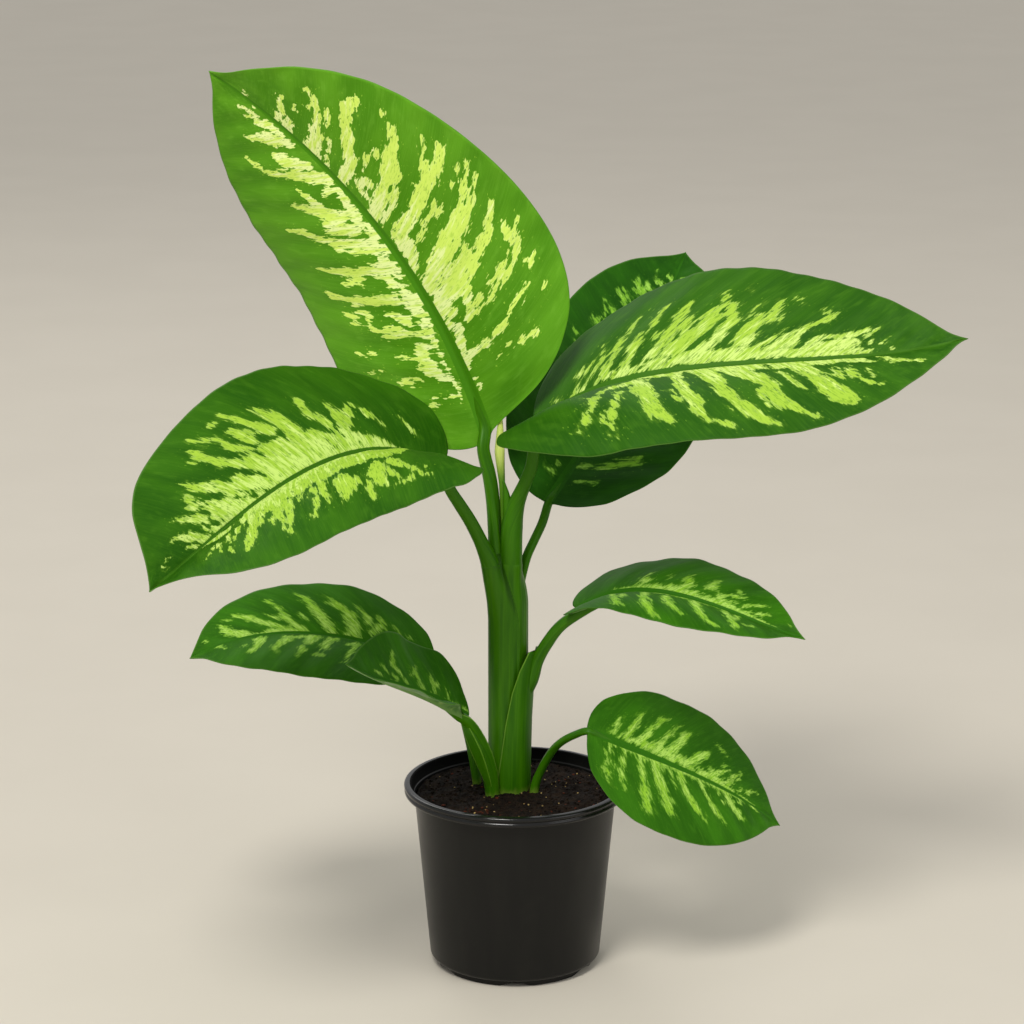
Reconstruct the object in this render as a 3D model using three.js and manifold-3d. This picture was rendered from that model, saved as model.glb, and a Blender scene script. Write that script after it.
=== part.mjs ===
// Potted dieffenbachia: a black nursery pot full of soil, a cane of wrapped sheaths and eight leaves.
// Millimetres, +Z up, origin in the middle of the pot's underside, -Y is the front.
import * as THREE from 'three';
import { mergeVertices } from 'three/addons/utils/BufferGeometryUtils.js';
import Module from 'manifold-3d';

const wasm = await Module();
wasm.setup();

const { sin, cos, exp, min, max, abs, PI } = Math;
const toRadians = THREE.MathUtils.degToRad;
const lerp = THREE.MathUtils.lerp;
const vector = (x, y, z) => new THREE.Vector3(x, y, z);
const unit = degrees => vector(cos(toRadians(degrees)), sin(toRadians(degrees)), 0);

// The gap between two pieces that touch
const clearance = 0.3;

// The pot: a thin tapered wall, a rim of two rolled beads, a foot ring with shallow drain arches
const pot = {
  height: 144,
  rimRadius: 85,
  mouthRadius: 79.5,
  wallTopRadius: 77.2,
  footRadius: 64.8,
  ringRadius: 60.4,
  padRadius: 44,
  wall: 1.6,
  base: 4.5,
  floor: 6.4,
  rimHeight: 8.2,
  cornerRadius: 4.4,
  arches: 6,
  archHeight: 2.6,
  archHalfAngle: 13,
  drainRadius: 3.5,
  drainCircle: 50,
  segments: 48,
};

// The soil, a little domed round the cane
const soil = { edgeHeight: 134, edgeDepth: 8, dome: 3, lumps: 0.7, segments: 32 };

// The cane of wrapped leaf sheaths, its foot sunk in the soil
const cane = {
  axis: [-5.6, 5],
  radius: 14.5,
  foot: 112,
  top: 334,
  topTaper: 0.22,
  taperStart: 0.82,
  sheathStep: 1.0,
  marginStart: 0.7,
  marginAngles: [-58, -130],
  backMargin: 130,
  sides: 20,
  rings: 12,
};

// The rolled young leaf that stands on the cane
const youngLeaf = {
  path: [
    [-8.5, 6, 333], [-8.8, 5.5, 354], [-9.7, 5.5, 378],
    [-11.4, 7, 402], [-11.2, 10, 420], [-10.6, 13, 436],
  ],
  radii: [2.2, 2.4, 3.2, 3.9, 2.8, 0.7],
};

// The sheath that still wraps the cane's right side and turns into the side leaf's stalk
const sheath = {
  facing: -20,
  innerRadius: 15.8,
  thickness: 1.9,
  edge: 0.8,
  heights: [116, 139, 164, 194, 218, 236, 250],
  halfAngles: [107, 104, 91, 79, 67, 52, 34],
  lean: [0, 0, 0.4, 1.2, 2.6, 4.6, 7],
};

// The eight leaves. base is the point where the stalk meets the blade, angles are in degrees:
// heading is the compass turn from +X, rise the climb of the midrib (base, middle, tip),
// roll the turn about the midrib, fold and curl the lift of each half and how it changes outwards.
// Pairs are [left, right] as seen by someone who looks from the base to the tip.
// sag lowers (or, below zero, lifts) the midrib's first part. clasp gives one half's base its own
// lobe, by the outline's two handles there, and adds to its fold and curl, fading over its run.
const leaves = {
  crown: {
    base: [-20, 12, 411.5], length: 354, halfWidth: [99, 107], widest: [0.33, 0.36], lobe: [7, -13],
    fullness: 0.51, tipAngle: 63, heading: [189, 193], rise: [73, 54, 35], roll: [-107, -125],
    fold: [9, 11], curl: [-39, -34], wave: { height: 5, count: 1.7, phase: [6.2, 1.15] },
    stalk: {
      path: [[-14.2, 1, 314], [-15, 2, 338], [-16.1, 3, 365], [-19.3, 5, 386.5], [-21, 8, 399]],
      radii: [5.8, 5.4, 5.2, 5, 4.7],
    },
    color: 0x4f9a2c, large: true,
  },
  right: {
    base: [14, -4, 429], length: 332, halfWidth: [93, 95], widest: [0.3, 0.26], lobe: [0, 30],
    fullness: 0.5, tipAngle: 49, heading: [-19, 3], rise: [37, 6, 15], roll: [17, 38],
    fold: [24, 23], curl: [-26, -48], wave: { height: 5, count: 1.6, phase: [3.0, 3.6] },
    sag: { depth: 8.8, run: 72 },
    clasp: { half: 1, fold: 35, curl: -60, run: 150, handles: [[-22.7, 64], [-4.8, 101]] },
    stalk: {
      path: [[-3, -1, 320], [-2.3, -2, 348], [0.8, -3, 364], [6.7, -4, 381], [12, -4, 394], [13.5, -4, 409]],
      radii: [8, 8.2, 7.4, 6, 5.1, 4.8],
    },
    color: 0x2f6a2a, large: true,
  },
  left: {
    base: [-54.8, -20, 394], length: 325, halfWidth: [98, 82], widest: [0.29, 0.26], lobe: [17, 12],
    fullness: 0.76, tipAngle: 72, heading: [226, 237], rise: [36, -11, -15], roll: [-15, -21],
    fold: [46, 45], curl: [-65, -29], wave: { height: 6, count: 1.6, phase: [6.85, 2.85] },
    sag: { depth: -7.6, run: 52 },
    clasp: { half: 0, fold: -31, curl: 52, run: 160, handles: [[-3.2, 0.8], [25.5, 111]] },
    stalk: {
      path: [
        [-12.5, -2, 288], [-15.5, -3.5, 304], [-19.5, -5, 321], [-25.7, -8.5, 337],
        [-33.4, -13, 354], [-41.5, -17, 368.5], [-48.3, -20, 380.5],
      ],
      radii: [8.6, 8, 6.9, 5.4, 5.1, 4.9, 4.6],
    },
    color: 0x356f2c, large: true,
  },
  back: {
    base: [26, 25, 360], length: 272, halfWidth: [74, 77], widest: [0.37, 0.37], lobe: [7, 4],
    fullness: 0.57, tipAngle: 64, heading: [54, 67], rise: [34, 34, 36], roll: [27, 19],
    fold: [15, 17], curl: [-3, -4], wave: { height: 2.5, count: 1.9, phase: [4.8, 1.5] },
    stalk: {
      path: [[2, 10, 290], [5.8, 11, 308], [9.3, 13, 320], [14.6, 16, 331], [20.8, 19.5, 344]],
      radii: [3.5, 3.4],
    },
    color: 0x2c6324, large: true,
  },
  lower_left: {
    base: [-58, 22, 228], length: 198, halfWidth: [54, 53], widest: [0.38, 0.38], lobe: [-1, -5],
    fullness: 0.48, tipAngle: 66, heading: [182, 185], rise: [25, 6, -29], roll: [-23, -30],
    fold: [17, 17], curl: [-23, -23], wave: { height: 1, count: 1.9, phase: [4.7, 3.3] },
    stalk: { path: [[-27, 15, 114], [-30, 17, 144], [-36, 19, 174], [-44, 21, 202]], radii: [3.8, 3.0] },
    color: 0x2f6a28, large: false,
  },
  small_left: {
    base: [-35, -34, 206], length: 145, halfWidth: [38, 45], widest: [0.42, 0.35], lobe: [-9, 3],
    fullness: 0.54, tipAngle: 60, heading: [223, 229], rise: [40, 26, 33], roll: [-21, -35],
    fold: [23, 26], curl: [11, 6], wave: { height: 3.5, count: 1.9, phase: [5.4, 0.2] },
    stalk: {
      path: [[-17, -15, 114], [-18, -15, 142], [-20, -16, 156], [-24, -19.5, 172], [-29.5, -26, 190]],
      radii: [4.4, 5, 5.6, 5.8, 4.8],
    },
    color: 0x2f6a28, large: false,
  },
  side: {
    base: [50, -11, 286], length: 180, halfWidth: [48, 49], widest: [0.37, 0.39], lobe: [11, 12],
    fullness: 0.5, tipAngle: 55, heading: [-20, -17], rise: [37, -10, -12], roll: [7, 21],
    fold: [27, 26], curl: [-42, -40], wave: { height: -1.5, count: 2, phase: [5.3, 2.0] },
    stalk: {
      path: [[12.2, -2, 226], [16.5, -3.6, 242], [24, -6.5, 257], [34, -9, 271]],
      radii: [5.6, 5.2, 4.8],
    },
    color: 0x2f6a2a, large: false,
  },
  low: {
    base: [56, -49, 201], length: 186, halfWidth: [55, 58], widest: [0.41, 0.39], lobe: [5, 2],
    fullness: 0.57, tipAngle: 56, heading: [15, 27], rise: [-28, -29, -43], roll: [53, 47],
    fold: [4, 3], curl: [-6, -12], wave: { height: 1.5, count: 2, phase: [0.3, 3.7] },
    stalk: {
      path: [
        [14.6, -3.5, 114], [15, -4, 141], [19.5, -6.5, 155],
        [27.4, -14, 172], [34, -24, 182.7], [43.6, -36, 192.6],
      ],
      radii: [3.8, 3.7, 3.2, 2.9],
    },
    color: 0x2f6a28, large: false,
  },
};

// How every blade is built: rows of veins from the midrib to the margin, low ribs between them,
// and a keel under the midrib that carries the stalk on
const blade = {
  thickness: 0.8,
  rows: { large: 22, small: 16 },
  columns: { large: [0, 0.045, 0.11, 0.32, 0.55, 0.78, 1], small: [0, 0.06, 0.16, 0.45, 0.74, 1] },
  lastRow: 0.975,
  ribRelief: { large: 0.55, small: 0.4 },
  basalShare: 0.13,
  basalReach: 0.1,
  veinSpread: 1.35,
  veinBend: 0.1,
  keelWidth: 4.5,
  keelNarrowing: 0.6,
  keelDepth: 0.9,
  keelFade: 0.8,
};

// The outline's handles, as shares of the lobe, of the half width or of the blade's length
const outlineShape = {
  dripTip: 5,
  dripRun: 8,
  lobeSwing: 2.2,
  lobeRise: 0.2,
  shoulder: 0.15,
  tipReach: 0.34,
};
const curveSteps = 60;

// A stalk's section and how deep it sits under the blade's base
const stalkShape = {
  sides: 10,
  rings: 12,
  channel: 0.22,
  channelWidth: 0.6,
  seatLength: 10,
  seatDepths: [0.95, 0.85],
};

function toSolid(geometry) {
  const bare = geometry.clone();
  bare.deleteAttribute('normal');
  bare.deleteAttribute('uv');
  const merged = mergeVertices(bare, 1e-4);
  return new wasm.Manifold(new wasm.Mesh({
    numProp: 3,
    vertProperties: new Float32Array(merged.attributes.position.array),
    triVerts: new Uint32Array(merged.index.array),
  }));
}

function toGeometry(solid) {
  const mesh = solid.getMesh();
  const geometry = new THREE.BufferGeometry();
  geometry.setAttribute('position', new THREE.BufferAttribute(mesh.vertProperties, 3));
  geometry.setIndex(new THREE.BufferAttribute(mesh.triVerts, 1));
  geometry.computeVertexNormals();
  return geometry;
}

function indexedGeometry(points, indices) {
  const geometry = new THREE.BufferGeometry();
  const values = points.flatMap(p => [p.x, p.y, p.z]);
  geometry.setAttribute('position', new THREE.Float32BufferAttribute(values, 3));
  geometry.setIndex(indices);
  return geometry;
}

// A closed skin over rings of points that turn left about the way from the first ring to the last
function loft(rings) {
  const count = rings[0].length;
  const points = rings.flat();
  const indices = [];
  for (let i = 0; i < rings.length - 1; i++) {
    for (let j = 0; j < count; j++) {
      const a = i * count + j;
      const b = i * count + (j + 1) % count;
      indices.push(a, b, b + count, a, b + count, a + count);
    }
  }
  const lastStart = (rings.length - 1) * count;
  for (const [start, turned] of [[0, true], [lastStart, false]]) {
    const centre = points.slice(start, start + count).reduce((sum, p) => sum.add(p), vector(0, 0, 0));
    points.push(centre.divideScalar(count));
    for (let j = 0; j < count; j++) {
      const a = start + j;
      const b = start + (j + 1) % count;
      indices.push(points.length - 1, turned ? b : a, turned ? a : b);
    }
  }
  return indexedGeometry(points, indices);
}

// Rings round a smooth path. section(radius) gives one ring as [[angle, distance], ...],
// with angle 0 towards upStart at the first ring and towards upEnd at the last.
function ringsAlong(path, radii, upStart, upEnd, section) {
  const curve = new THREE.CatmullRomCurve3(path, false, 'centripetal');
  const rings = [];
  for (let i = 0; i <= stalkShape.rings; i++) {
    const t = i / stalkShape.rings;
    const centre = curve.getPointAt(t);
    const tangent = curve.getTangentAt(t);
    const up = upStart.clone().lerp(upEnd, t);
    up.addScaledVector(tangent, -up.dot(tangent)).normalize();
    const side = tangent.clone().cross(up);
    const k = t * (radii.length - 1);
    const low = min(Math.floor(k), radii.length - 2);
    const radius = lerp(radii[low], radii[low + 1], k - low);
    rings.push(section(radius).map(([angle, distance]) => centre.clone()
      .addScaledVector(up, distance * cos(angle))
      .addScaledVector(side, distance * sin(angle))));
  }
  return rings;
}

function cubic(p, t) {
  const s = 1 - t;
  const weights = [s ** 3, 3 * s * s * t, 3 * s * t * t, t ** 3];
  return [0, 1].map(k => weights.reduce((sum, weight, i) => sum + weight * p[i][k], 0));
}

// Half of a blade's flat outline: from the stalk round the basal lobe to the widest place, then to the tip
function halfOutline(leaf, half) {
  const { dripTip, dripRun, lobeSwing, lobeRise, shoulder, tipReach } = outlineShape;
  const body = leaf.length - dripTip;
  const width = leaf.halfWidth[half];
  const lobe = leaf.lobe[half];
  const widest = leaf.widest[half] * body;
  const rest = body - widest;
  const reach = tipReach * rest;
  const angle = toRadians(leaf.tipAngle);
  const plainHandles = [[-lobeSwing * lobe, lobeRise * width], [shoulder * widest - lobe / 2, width]];
  const handles = leaf.clasp?.half === half ? leaf.clasp.handles : plainHandles;
  const basal = [[0, 0], ...handles, [widest, width]];
  const outer = [
    [widest, width],
    [widest + leaf.fullness * rest, width],
    [body - reach * cos(angle), reach * sin(angle)],
    [body, 0],
  ];
  const points = [];
  for (let i = 0; i < curveSteps; i++) points.push(cubic(basal, i / curveSteps));
  for (let i = 0; i <= curveSteps; i++) {
    const [x, y] = cubic(outer, i / curveSteps);
    const end = max(0, (x - body) / dripRun + 1);
    points.push([x + dripTip * end * end, y]);
  }
  return points;
}

// The point at share s of an outline's length
function alongOutline(points, s) {
  const steps = points.slice(1).map(([x, y], i) => Math.hypot(x - points[i][0], y - points[i][1]));
  let left = s * steps.reduce((sum, d) => sum + d, 0);
  let i = 0;
  while (i < steps.length - 1 && left > steps[i]) {
    left -= steps[i];
    i += 1;
  }
  const k = steps[i] > 0 ? min(1, left / steps[i]) : 0;
  return [0, 1].map(c => lerp(points[i][c], points[i + 1][c], k));
}

// Values given at the base, (the middle) and the tip, at share f of the midrib
function alongMidrib(values, f) {
  if (values.length === 2) return lerp(values[0], values[1], f);
  return values[0] * (1 - f) * (1 - 2 * f) + values[1] * 4 * f * (1 - f) + values[2] * f * (2 * f - 1);
}

// The midrib's points, with their forward, side (left) and normal directions
function midribStations(leaf) {
  const stations = [];
  for (let i = 0; i <= curveSteps; i++) {
    const f = i / curveSteps;
    const heading = toRadians(alongMidrib(leaf.heading, f));
    const rise = toRadians(alongMidrib(leaf.rise, f));
    const roll = toRadians(alongMidrib(leaf.roll, f));
    const forward = vector(cos(rise) * cos(heading), cos(rise) * sin(heading), sin(rise));
    const level = vector(-sin(heading), cos(heading), 0);
    const above = forward.clone().cross(level);
    const side = level.clone().multiplyScalar(cos(roll)).addScaledVector(above, sin(roll));
    const normal = above.multiplyScalar(cos(roll)).addScaledVector(level, -sin(roll));
    const last = stations[i - 1];
    const point = last
      ? last.point.clone().addScaledVector(last.forward.clone().add(forward), leaf.length / curveSteps / 2)
      : vector(...leaf.base);
    stations.push({ point, forward, side, normal });
  }
  const { depth = 0, run = 1 } = leaf.sag ?? {};
  stations.forEach((station, i) => {
    station.point.z -= depth * max(0, 1 - i / curveSteps * leaf.length / run) ** 2;
  });
  return stations;
}

// The midrib's frame at x along it; before the base and past the tip it goes straight on
function frameAt(leaf, stations, x) {
  const inside = min(max(x, 0), leaf.length);
  const k = inside / leaf.length * (stations.length - 1);
  const low = min(Math.floor(k), stations.length - 2);
  const mix = name => stations[low][name].clone().lerp(stations[low + 1][name], k - low);
  const point = mix('point').addScaledVector(mix('forward'), x - inside);
  return { point, side: mix('side'), normal: mix('normal') };
}

// Vein u starts at share u of the midrib and bends forward to the margin; v runs from 0 there to 1
function flatPoint(leaf, outline, u, v) {
  const onMidrib = [u * leaf.length, 0];
  const endShare = blade.basalShare + (1 - blade.basalShare) * u ** (1 / blade.veinSpread);
  const end = alongOutline(outline, endShare);
  const middle = [(onMidrib[0] + end[0]) / 2 - blade.veinBend * end[1], end[1] / 2];
  const vein = [0, 1].map(k => (1 - v) ** 2 * onMidrib[k] + 2 * v * (1 - v) * middle[k] + v * v * end[k]);
  const basal = alongOutline(outline, blade.basalShare * v);
  const share = max(0, 1 - u / blade.basalReach) ** 2;
  return [lerp(vein[0], basal[0], share), lerp(vein[1], basal[1], share)];
}

// A blade's upper and lower face at vein u, v outwards, on half 0 (left) or 1 (right)
function bladePoint(leaf, stations, outline, half, u, v, rowCount) {
  const [x, y] = flatPoint(leaf, outline, u, v);
  const out = half === 0 ? 1 : -1;
  const share = y / leaf.halfWidth[half];
  const clasp = leaf.clasp?.half === half ? leaf.clasp : { fold: 0, curl: 0, run: 1 };
  const clasped = max(0, 1 - max(0, x) / clasp.run) ** 2;
  const fold = toRadians(leaf.fold[half] + clasp.fold * clasped);
  const curl = toRadians(leaf.curl[half] + clasp.curl * clasped) * share;
  const bend = curl / 2;
  const chord = abs(bend) < 1e-6 ? y : y * sin(bend) / bend;
  const wave = leaf.wave.height * share ** 2 *
    sin(2 * PI * leaf.wave.count * x / leaf.length + leaf.wave.phase[half]);
  const size = leaf.large ? 'large' : 'small';
  const rib = blade.ribRelief[size] * sin(PI * v) * cos(PI * rowCount * u / blade.lastRow);
  const frame = frameAt(leaf, stations, x);
  const lift = fold + curl;
  const normal = frame.normal.clone();
  if (v > 0) normal.multiplyScalar(cos(lift)).addScaledVector(frame.side, -out * sin(lift));
  const top = frame.point
    .addScaledVector(frame.side, out * chord * cos(fold + bend))
    .addScaledVector(frame.normal, chord * sin(fold + bend) + wave)
    .addScaledVector(normal, rib);
  const alongShare = min(max(x / leaf.length, 0), 1);
  const keelWidth = blade.keelWidth * (1 - blade.keelNarrowing * alongShare);
  const keelDepth = blade.keelDepth * leaf.stalk.radii.at(-1) * (1 - alongShare) ** blade.keelFade;
  const keel = keelDepth * exp(-((y / keelWidth) ** 2));
  const bottom = top.clone().addScaledVector(normal, -(blade.thickness + keel));
  return { top, bottom };
}

function bladeGeometry(leaf) {
  const size = leaf.large ? 'large' : 'small';
  const rowCount = blade.rows[size];
  const outwards = blade.columns[size];
  const stations = midribStations(leaf);
  const outlines = [halfOutline(leaf, 0), halfOutline(leaf, 1)];
  const columns = [...outwards.slice(1).reverse().map(v => [1, v]), ...outwards.map(v => [0, v])];
  const pairs = [];
  for (let i = 0; i <= rowCount; i++) {
    const u = blade.lastRow * i / rowCount;
    for (const [half, v] of columns) {
      pairs.push(bladePoint(leaf, stations, outlines[half], half, u, v, rowCount));
    }
  }
  pairs.push(bladePoint(leaf, stations, outlines[0], 0, 1, 0, rowCount));
  const width = columns.length;
  const tip = pairs.length - 1;
  const sheet = [];
  for (let i = 0; i < rowCount; i++) {
    for (let c = 0; c < width - 1; c++) {
      const a = i * width + c;
      sheet.push([a, a + width, a + width + 1], [a, a + width + 1, a + 1]);
    }
  }
  for (let c = 0; c < width - 1; c++) sheet.push([rowCount * width + c, tip, rowCount * width + c + 1]);
  const border = [];
  for (let c = width - 1; c > 0; c--) border.push(c);
  for (let i = 0; i <= rowCount; i++) border.push(i * width);
  border.push(tip);
  for (let i = rowCount; i > 0; i--) border.push(i * width + width - 1);
  const indices = [];
  for (const [a, b, c] of sheet) indices.push(a, b, c, tip + 1 + a, tip + 1 + c, tip + 1 + b);
  border.forEach((a, k) => {
    const b = border[(k + 1) % border.length];
    indices.push(a, tip + 1 + a, tip + 1 + b, a, tip + 1 + b, b);
  });
  return indexedGeometry([...pairs.map(p => p.top), ...pairs.map(p => p.bottom)], indices);
}

// A stalk's section: round, with a shallow channel on the side that faces up or inwards
function stalkSection(grow) {
  return radius => Array.from({ length: stalkShape.sides }, (_, j) => {
    const angle = 2 * PI * j / stalkShape.sides;
    const turned = min(angle, 2 * PI - angle);
    const channel = stalkShape.channel * exp(-((turned / stalkShape.channelWidth) ** 2));
    return [angle, radius * (1 - channel) + grow];
  });
}

// A leaf's stalk: from its foot to the blade, whose midrib it runs under for a short way
function stalkGeometry(leaf, grow = 0) {
  const stations = midribStations(leaf);
  const start = vector(...leaf.stalk.path[0]);
  const inwards = vector(cane.axis[0] - start.x, cane.axis[1] - start.y, 0).normalize();
  const endRadius = leaf.stalk.radii.at(-1);
  const seats = [0, stalkShape.seatLength + grow].map((x, k) => {
    const frame = frameAt(leaf, stations, x);
    return frame.point.addScaledVector(frame.normal, -stalkShape.seatDepths[k] * endRadius);
  });
  const path = [...leaf.stalk.path.map(p => vector(...p)), ...seats];
  const radii = [...leaf.stalk.radii, stalkShape.seatDepths[1] * endRadius];
  return loft(ringsAlong(path, radii, inwards, stations[0].normal, stalkSection(grow)));
}

// The cane: round, with the margin of the outermost sheath winding down its front as a low step
function caneGeometry(grow = 0) {
  const rings = [];
  for (let i = 0; i <= cane.rings; i++) {
    const share = i / cane.rings;
    const z = lerp(cane.foot - grow, cane.top + grow, share);
    const wound = max(0, share - cane.marginStart) / (1 - cane.marginStart);
    const margin = toRadians(lerp(...cane.marginAngles, wound));
    const tapered = max(0, share - cane.taperStart) / (1 - cane.taperStart);
    const core = cane.radius * (1 - cane.topTaper * tapered ** 2);
    const ring = [];
    for (let j = 0; j < cane.sides; j++) {
      const angle = 2 * PI * j / cane.sides - PI;
      const covered = angle < margin || angle > toRadians(cane.backMargin);
      const radius = core + (covered ? cane.sheathStep : 0) + grow;
      ring.push(vector(cane.axis[0] + radius * cos(angle), cane.axis[1] + radius * sin(angle), z));
    }
    rings.push(ring);
  }
  return loft(rings);
}

// The half sheath: a crescent round the cane that narrows and leans out on its way up
function sheathGeometry(grow = 0, inwards = 0) {
  const arcSteps = 8;
  const facing = toRadians(sheath.facing);
  const lastRing = sheath.heights.length - 1;
  const rings = sheath.heights.map((height, i) => {
    const lean = unit(sheath.facing).multiplyScalar(sheath.lean[i]);
    let z = height;
    if (i === 0) z -= grow;
    if (i === lastRing) z += grow;
    const half = toRadians(sheath.halfAngles[i]);
    const outside = [];
    const inside = [];
    for (let j = 0; j <= arcSteps; j++) {
      const s = 2 * j / arcSteps - 1;
      const edgeGrow = abs(s) === 1 ? s * grow / sheath.innerRadius : 0;
      const thickness = sheath.edge + (sheath.thickness - sheath.edge) * (1 - s * s);
      outside.push([facing + s * half + edgeGrow, sheath.innerRadius + thickness + grow]);
      inside.unshift([facing + s * half + edgeGrow, sheath.innerRadius - inwards]);
    }
    return [...outside, ...inside].map(([angle, radius]) =>
      vector(cane.axis[0] + radius * cos(angle) + lean.x, cane.axis[1] + radius * sin(angle) + lean.y, z));
  });
  return loft(rings);
}

function youngLeafGeometry(grow = 0) {
  const path = youngLeaf.path.map(p => vector(...p));
  const sides = 8;
  const section = radius => Array.from({ length: sides }, (_, j) => [2 * PI * j / sides, radius + grow]);
  return loft(ringsAlong(path, youngLeaf.radii, unit(90), unit(90), section));
}

function potOuterRadius(z) {
  return lerp(pot.footRadius, pot.wallTopRadius, z / (pot.height - pot.rimHeight));
}

// The wall's section turned about Z: the foot, the outside, the rim's two beads, the inside, the floor.
// Then the foot ring is lifted into arches.
function potGeometry() {
  const under = pot.height - pot.rimHeight;
  const corner = pot.cornerRadius;
  const bend = pot.base + corner;
  const inner = z => potOuterRadius(z) - pot.wall;
  const foot = [
    [0, 0],
    [pot.padRadius, 0],
    [pot.ringRadius - 0.8, 0],
    [pot.ringRadius, 0.8],
    [pot.ringRadius, pot.base],
    [potOuterRadius(bend) - corner, pot.base],
    [potOuterRadius(bend) - 0.3 * corner, pot.base + 0.3 * corner],
    [potOuterRadius(bend), bend],
    [potOuterRadius(under), under],
  ];
  const rim = [
    [pot.rimRadius - 1.8, under + 0.2],
    [pot.rimRadius - 0.5, under + 1.4],
    [pot.rimRadius - 0.5, under + 3.2],
    [pot.rimRadius - 1.5, under + 4.0],
    [pot.rimRadius, under + 4.8],
    [pot.rimRadius, under + 7.2],
    [pot.rimRadius - 1.2, pot.height],
    [pot.mouthRadius + 0.8, pot.height],
    [pot.mouthRadius, pot.height - 1.2],
  ];
  const inside = [
    [inner(under) + 1.5, under - 1],
    [inner(under - corner), under - corner],
    [inner(bend), bend],
    [pot.ringRadius + 1, pot.floor],
    [0, pot.floor],
  ];
  const points = [...foot, ...rim, ...inside].map(([r, z]) => new THREE.Vector2(r, z));
  const geometry = new THREE.LatheGeometry(points, pot.segments);
  geometry.rotateX(PI / 2);
  const position = geometry.attributes.position;
  for (let i = 0; i < position.count; i++) {
    const radius = Math.hypot(position.getX(i), position.getY(i));
    const z = position.getZ(i);
    if (radius < pot.padRadius + 1 || z > 0.5 * pot.base) continue;
    const turn = Math.atan2(position.getY(i), position.getX(i)) + PI / 2;
    const spacing = 2 * PI / pot.arches;
    const offset = abs(turn - spacing * Math.round(turn / spacing)) / toRadians(pot.archHalfAngle);
    const arch = offset < 1 ? cos(PI * offset / 2) ** 2 : 0;
    position.setZ(i, z + pot.archHeight * arch);
  }
  return geometry;
}

function drainHoles() {
  const length = 4 * pot.floor;
  const sides = 10;
  return Array.from({ length: pot.arches }, (_, i) => {
    const spot = unit(360 * i / pot.arches - 90).multiplyScalar(pot.drainCircle);
    const hole = new THREE.CylinderGeometry(pot.drainRadius, pot.drainRadius, length, sides);
    return toSolid(hole.rotateX(PI / 2).translate(spot.x, spot.y, 0));
  });
}

// The soil's surface: domed in the middle, with low even lumps
function soilHeight(x, y) {
  const share = Math.hypot(x, y) / pot.wallTopRadius;
  const lumps = sin(0.17 * x + 1.1) * cos(0.15 * y) + sin(0.11 * x - 0.13 * y);
  return soil.edgeHeight + soil.dome * (1 - share * share) + soil.lumps * lumps;
}

function soilGeometry() {
  const rings = [];
  const ring = (radius, height) => rings.push(Array.from({ length: soil.segments }, (_, j) => {
    const angle = 2 * PI * j / soil.segments;
    const x = radius * cos(angle);
    const y = radius * sin(angle);
    return vector(x, y, height ?? soilHeight(x, y));
  }));
  // The polygon's corners keep clear of the pot's flat facets
  const fit = cos(PI / pot.segments);
  const edge = z => (potOuterRadius(z) - pot.wall) * fit - clearance;
  const bottom = pot.floor + clearance;
  const bend = pot.base + pot.cornerRadius + clearance;
  const top = soil.edgeHeight - soil.edgeDepth;
  ring(0.6 * pot.ringRadius, bottom);
  ring(pot.ringRadius, bottom);
  ring(edge(bend), bend);
  ring(edge(top), top);
  for (const share of [1, 0.8, 0.6, 0.4]) ring(share * edge(top));
  return loft(rings);
}

function cut(solid, ...tools) {
  return tools.reduce((rest, tool) => rest.subtract(tool), solid);
}

const caneKeepOut = toSolid(caneGeometry(clearance));
const sheathSolid = toSolid(sheathGeometry());
const sheathKeepOut = toSolid(sheathGeometry(clearance, 3 * clearance));
const sheathHole = toSolid(sheathGeometry(clearance, 10 * clearance));
const stalkSolids = {};
const stalkKeepOuts = {};
for (const [name, leaf] of Object.entries(leaves)) {
  stalkSolids[name] = toSolid(stalkGeometry(leaf));
  stalkKeepOuts[name] = toSolid(stalkGeometry(leaf, clearance));
}
stalkSolids.side = stalkSolids.side.add(sheathSolid);
stalkKeepOuts.side = stalkKeepOuts.side.add(sheathKeepOut);

// Each stalk gives way to the cane and to the stalks named here
const givesWay = { right: ['crown'], left: ['crown'], low: ['side'], small_left: ['side'] };
const young = cut(toSolid(youngLeafGeometry()), caneKeepOut, stalkKeepOuts.crown, stalkKeepOuts.right);

const plant = new THREE.Group();

function addPiece(name, geometry, color, roughness) {
  const material = new THREE.MeshStandardMaterial({ color, roughness, metalness: 0 });
  const mesh = new THREE.Mesh(geometry, material);
  mesh.name = name;
  plant.add(mesh);
}

const potSolid = cut(toSolid(potGeometry()), ...drainHoles());
addPiece('pot', toGeometry(potSolid), 0x262626, 0.45);

// The stalks that stand in the soil, each in a plain hole like the cane's
const rooted = ['lower_left', 'small_left', 'low'];
const rootedKeepOuts = rooted.map(name => stalkKeepOuts[name]);
const soilSolid = cut(toSolid(soilGeometry()), caneKeepOut, sheathHole, ...rootedKeepOuts);
addPiece('soil', toGeometry(soilSolid), 0x1d1410, 0.95);
addPiece('cane', caneGeometry(), 0x3f7a1c, 0.45);
addPiece('young_leaf', toGeometry(young), 0xa9c66a, 0.5);

for (const [name, leaf] of Object.entries(leaves)) {
  const neighbours = (givesWay[name] ?? []).map(other => stalkKeepOuts[other]);
  const stalk = cut(stalkSolids[name], caneKeepOut, ...neighbours);
  addPiece(`${name}_stalk`, toGeometry(stalk), 0x4c8a24, 0.45);
  const bladeSolid = cut(toSolid(bladeGeometry(leaf)), stalkKeepOuts[name]);
  addPiece(`${name}_leaf`, toGeometry(bladeSolid), leaf.color, 0.4);
}

export default plant;
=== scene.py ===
"""Potted dieffenbachia: fine leaves, stalks, cane, soil and pot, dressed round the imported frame."""
import math
import random

import bmesh
import bpy
import numpy as np
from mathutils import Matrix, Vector, noise


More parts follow.
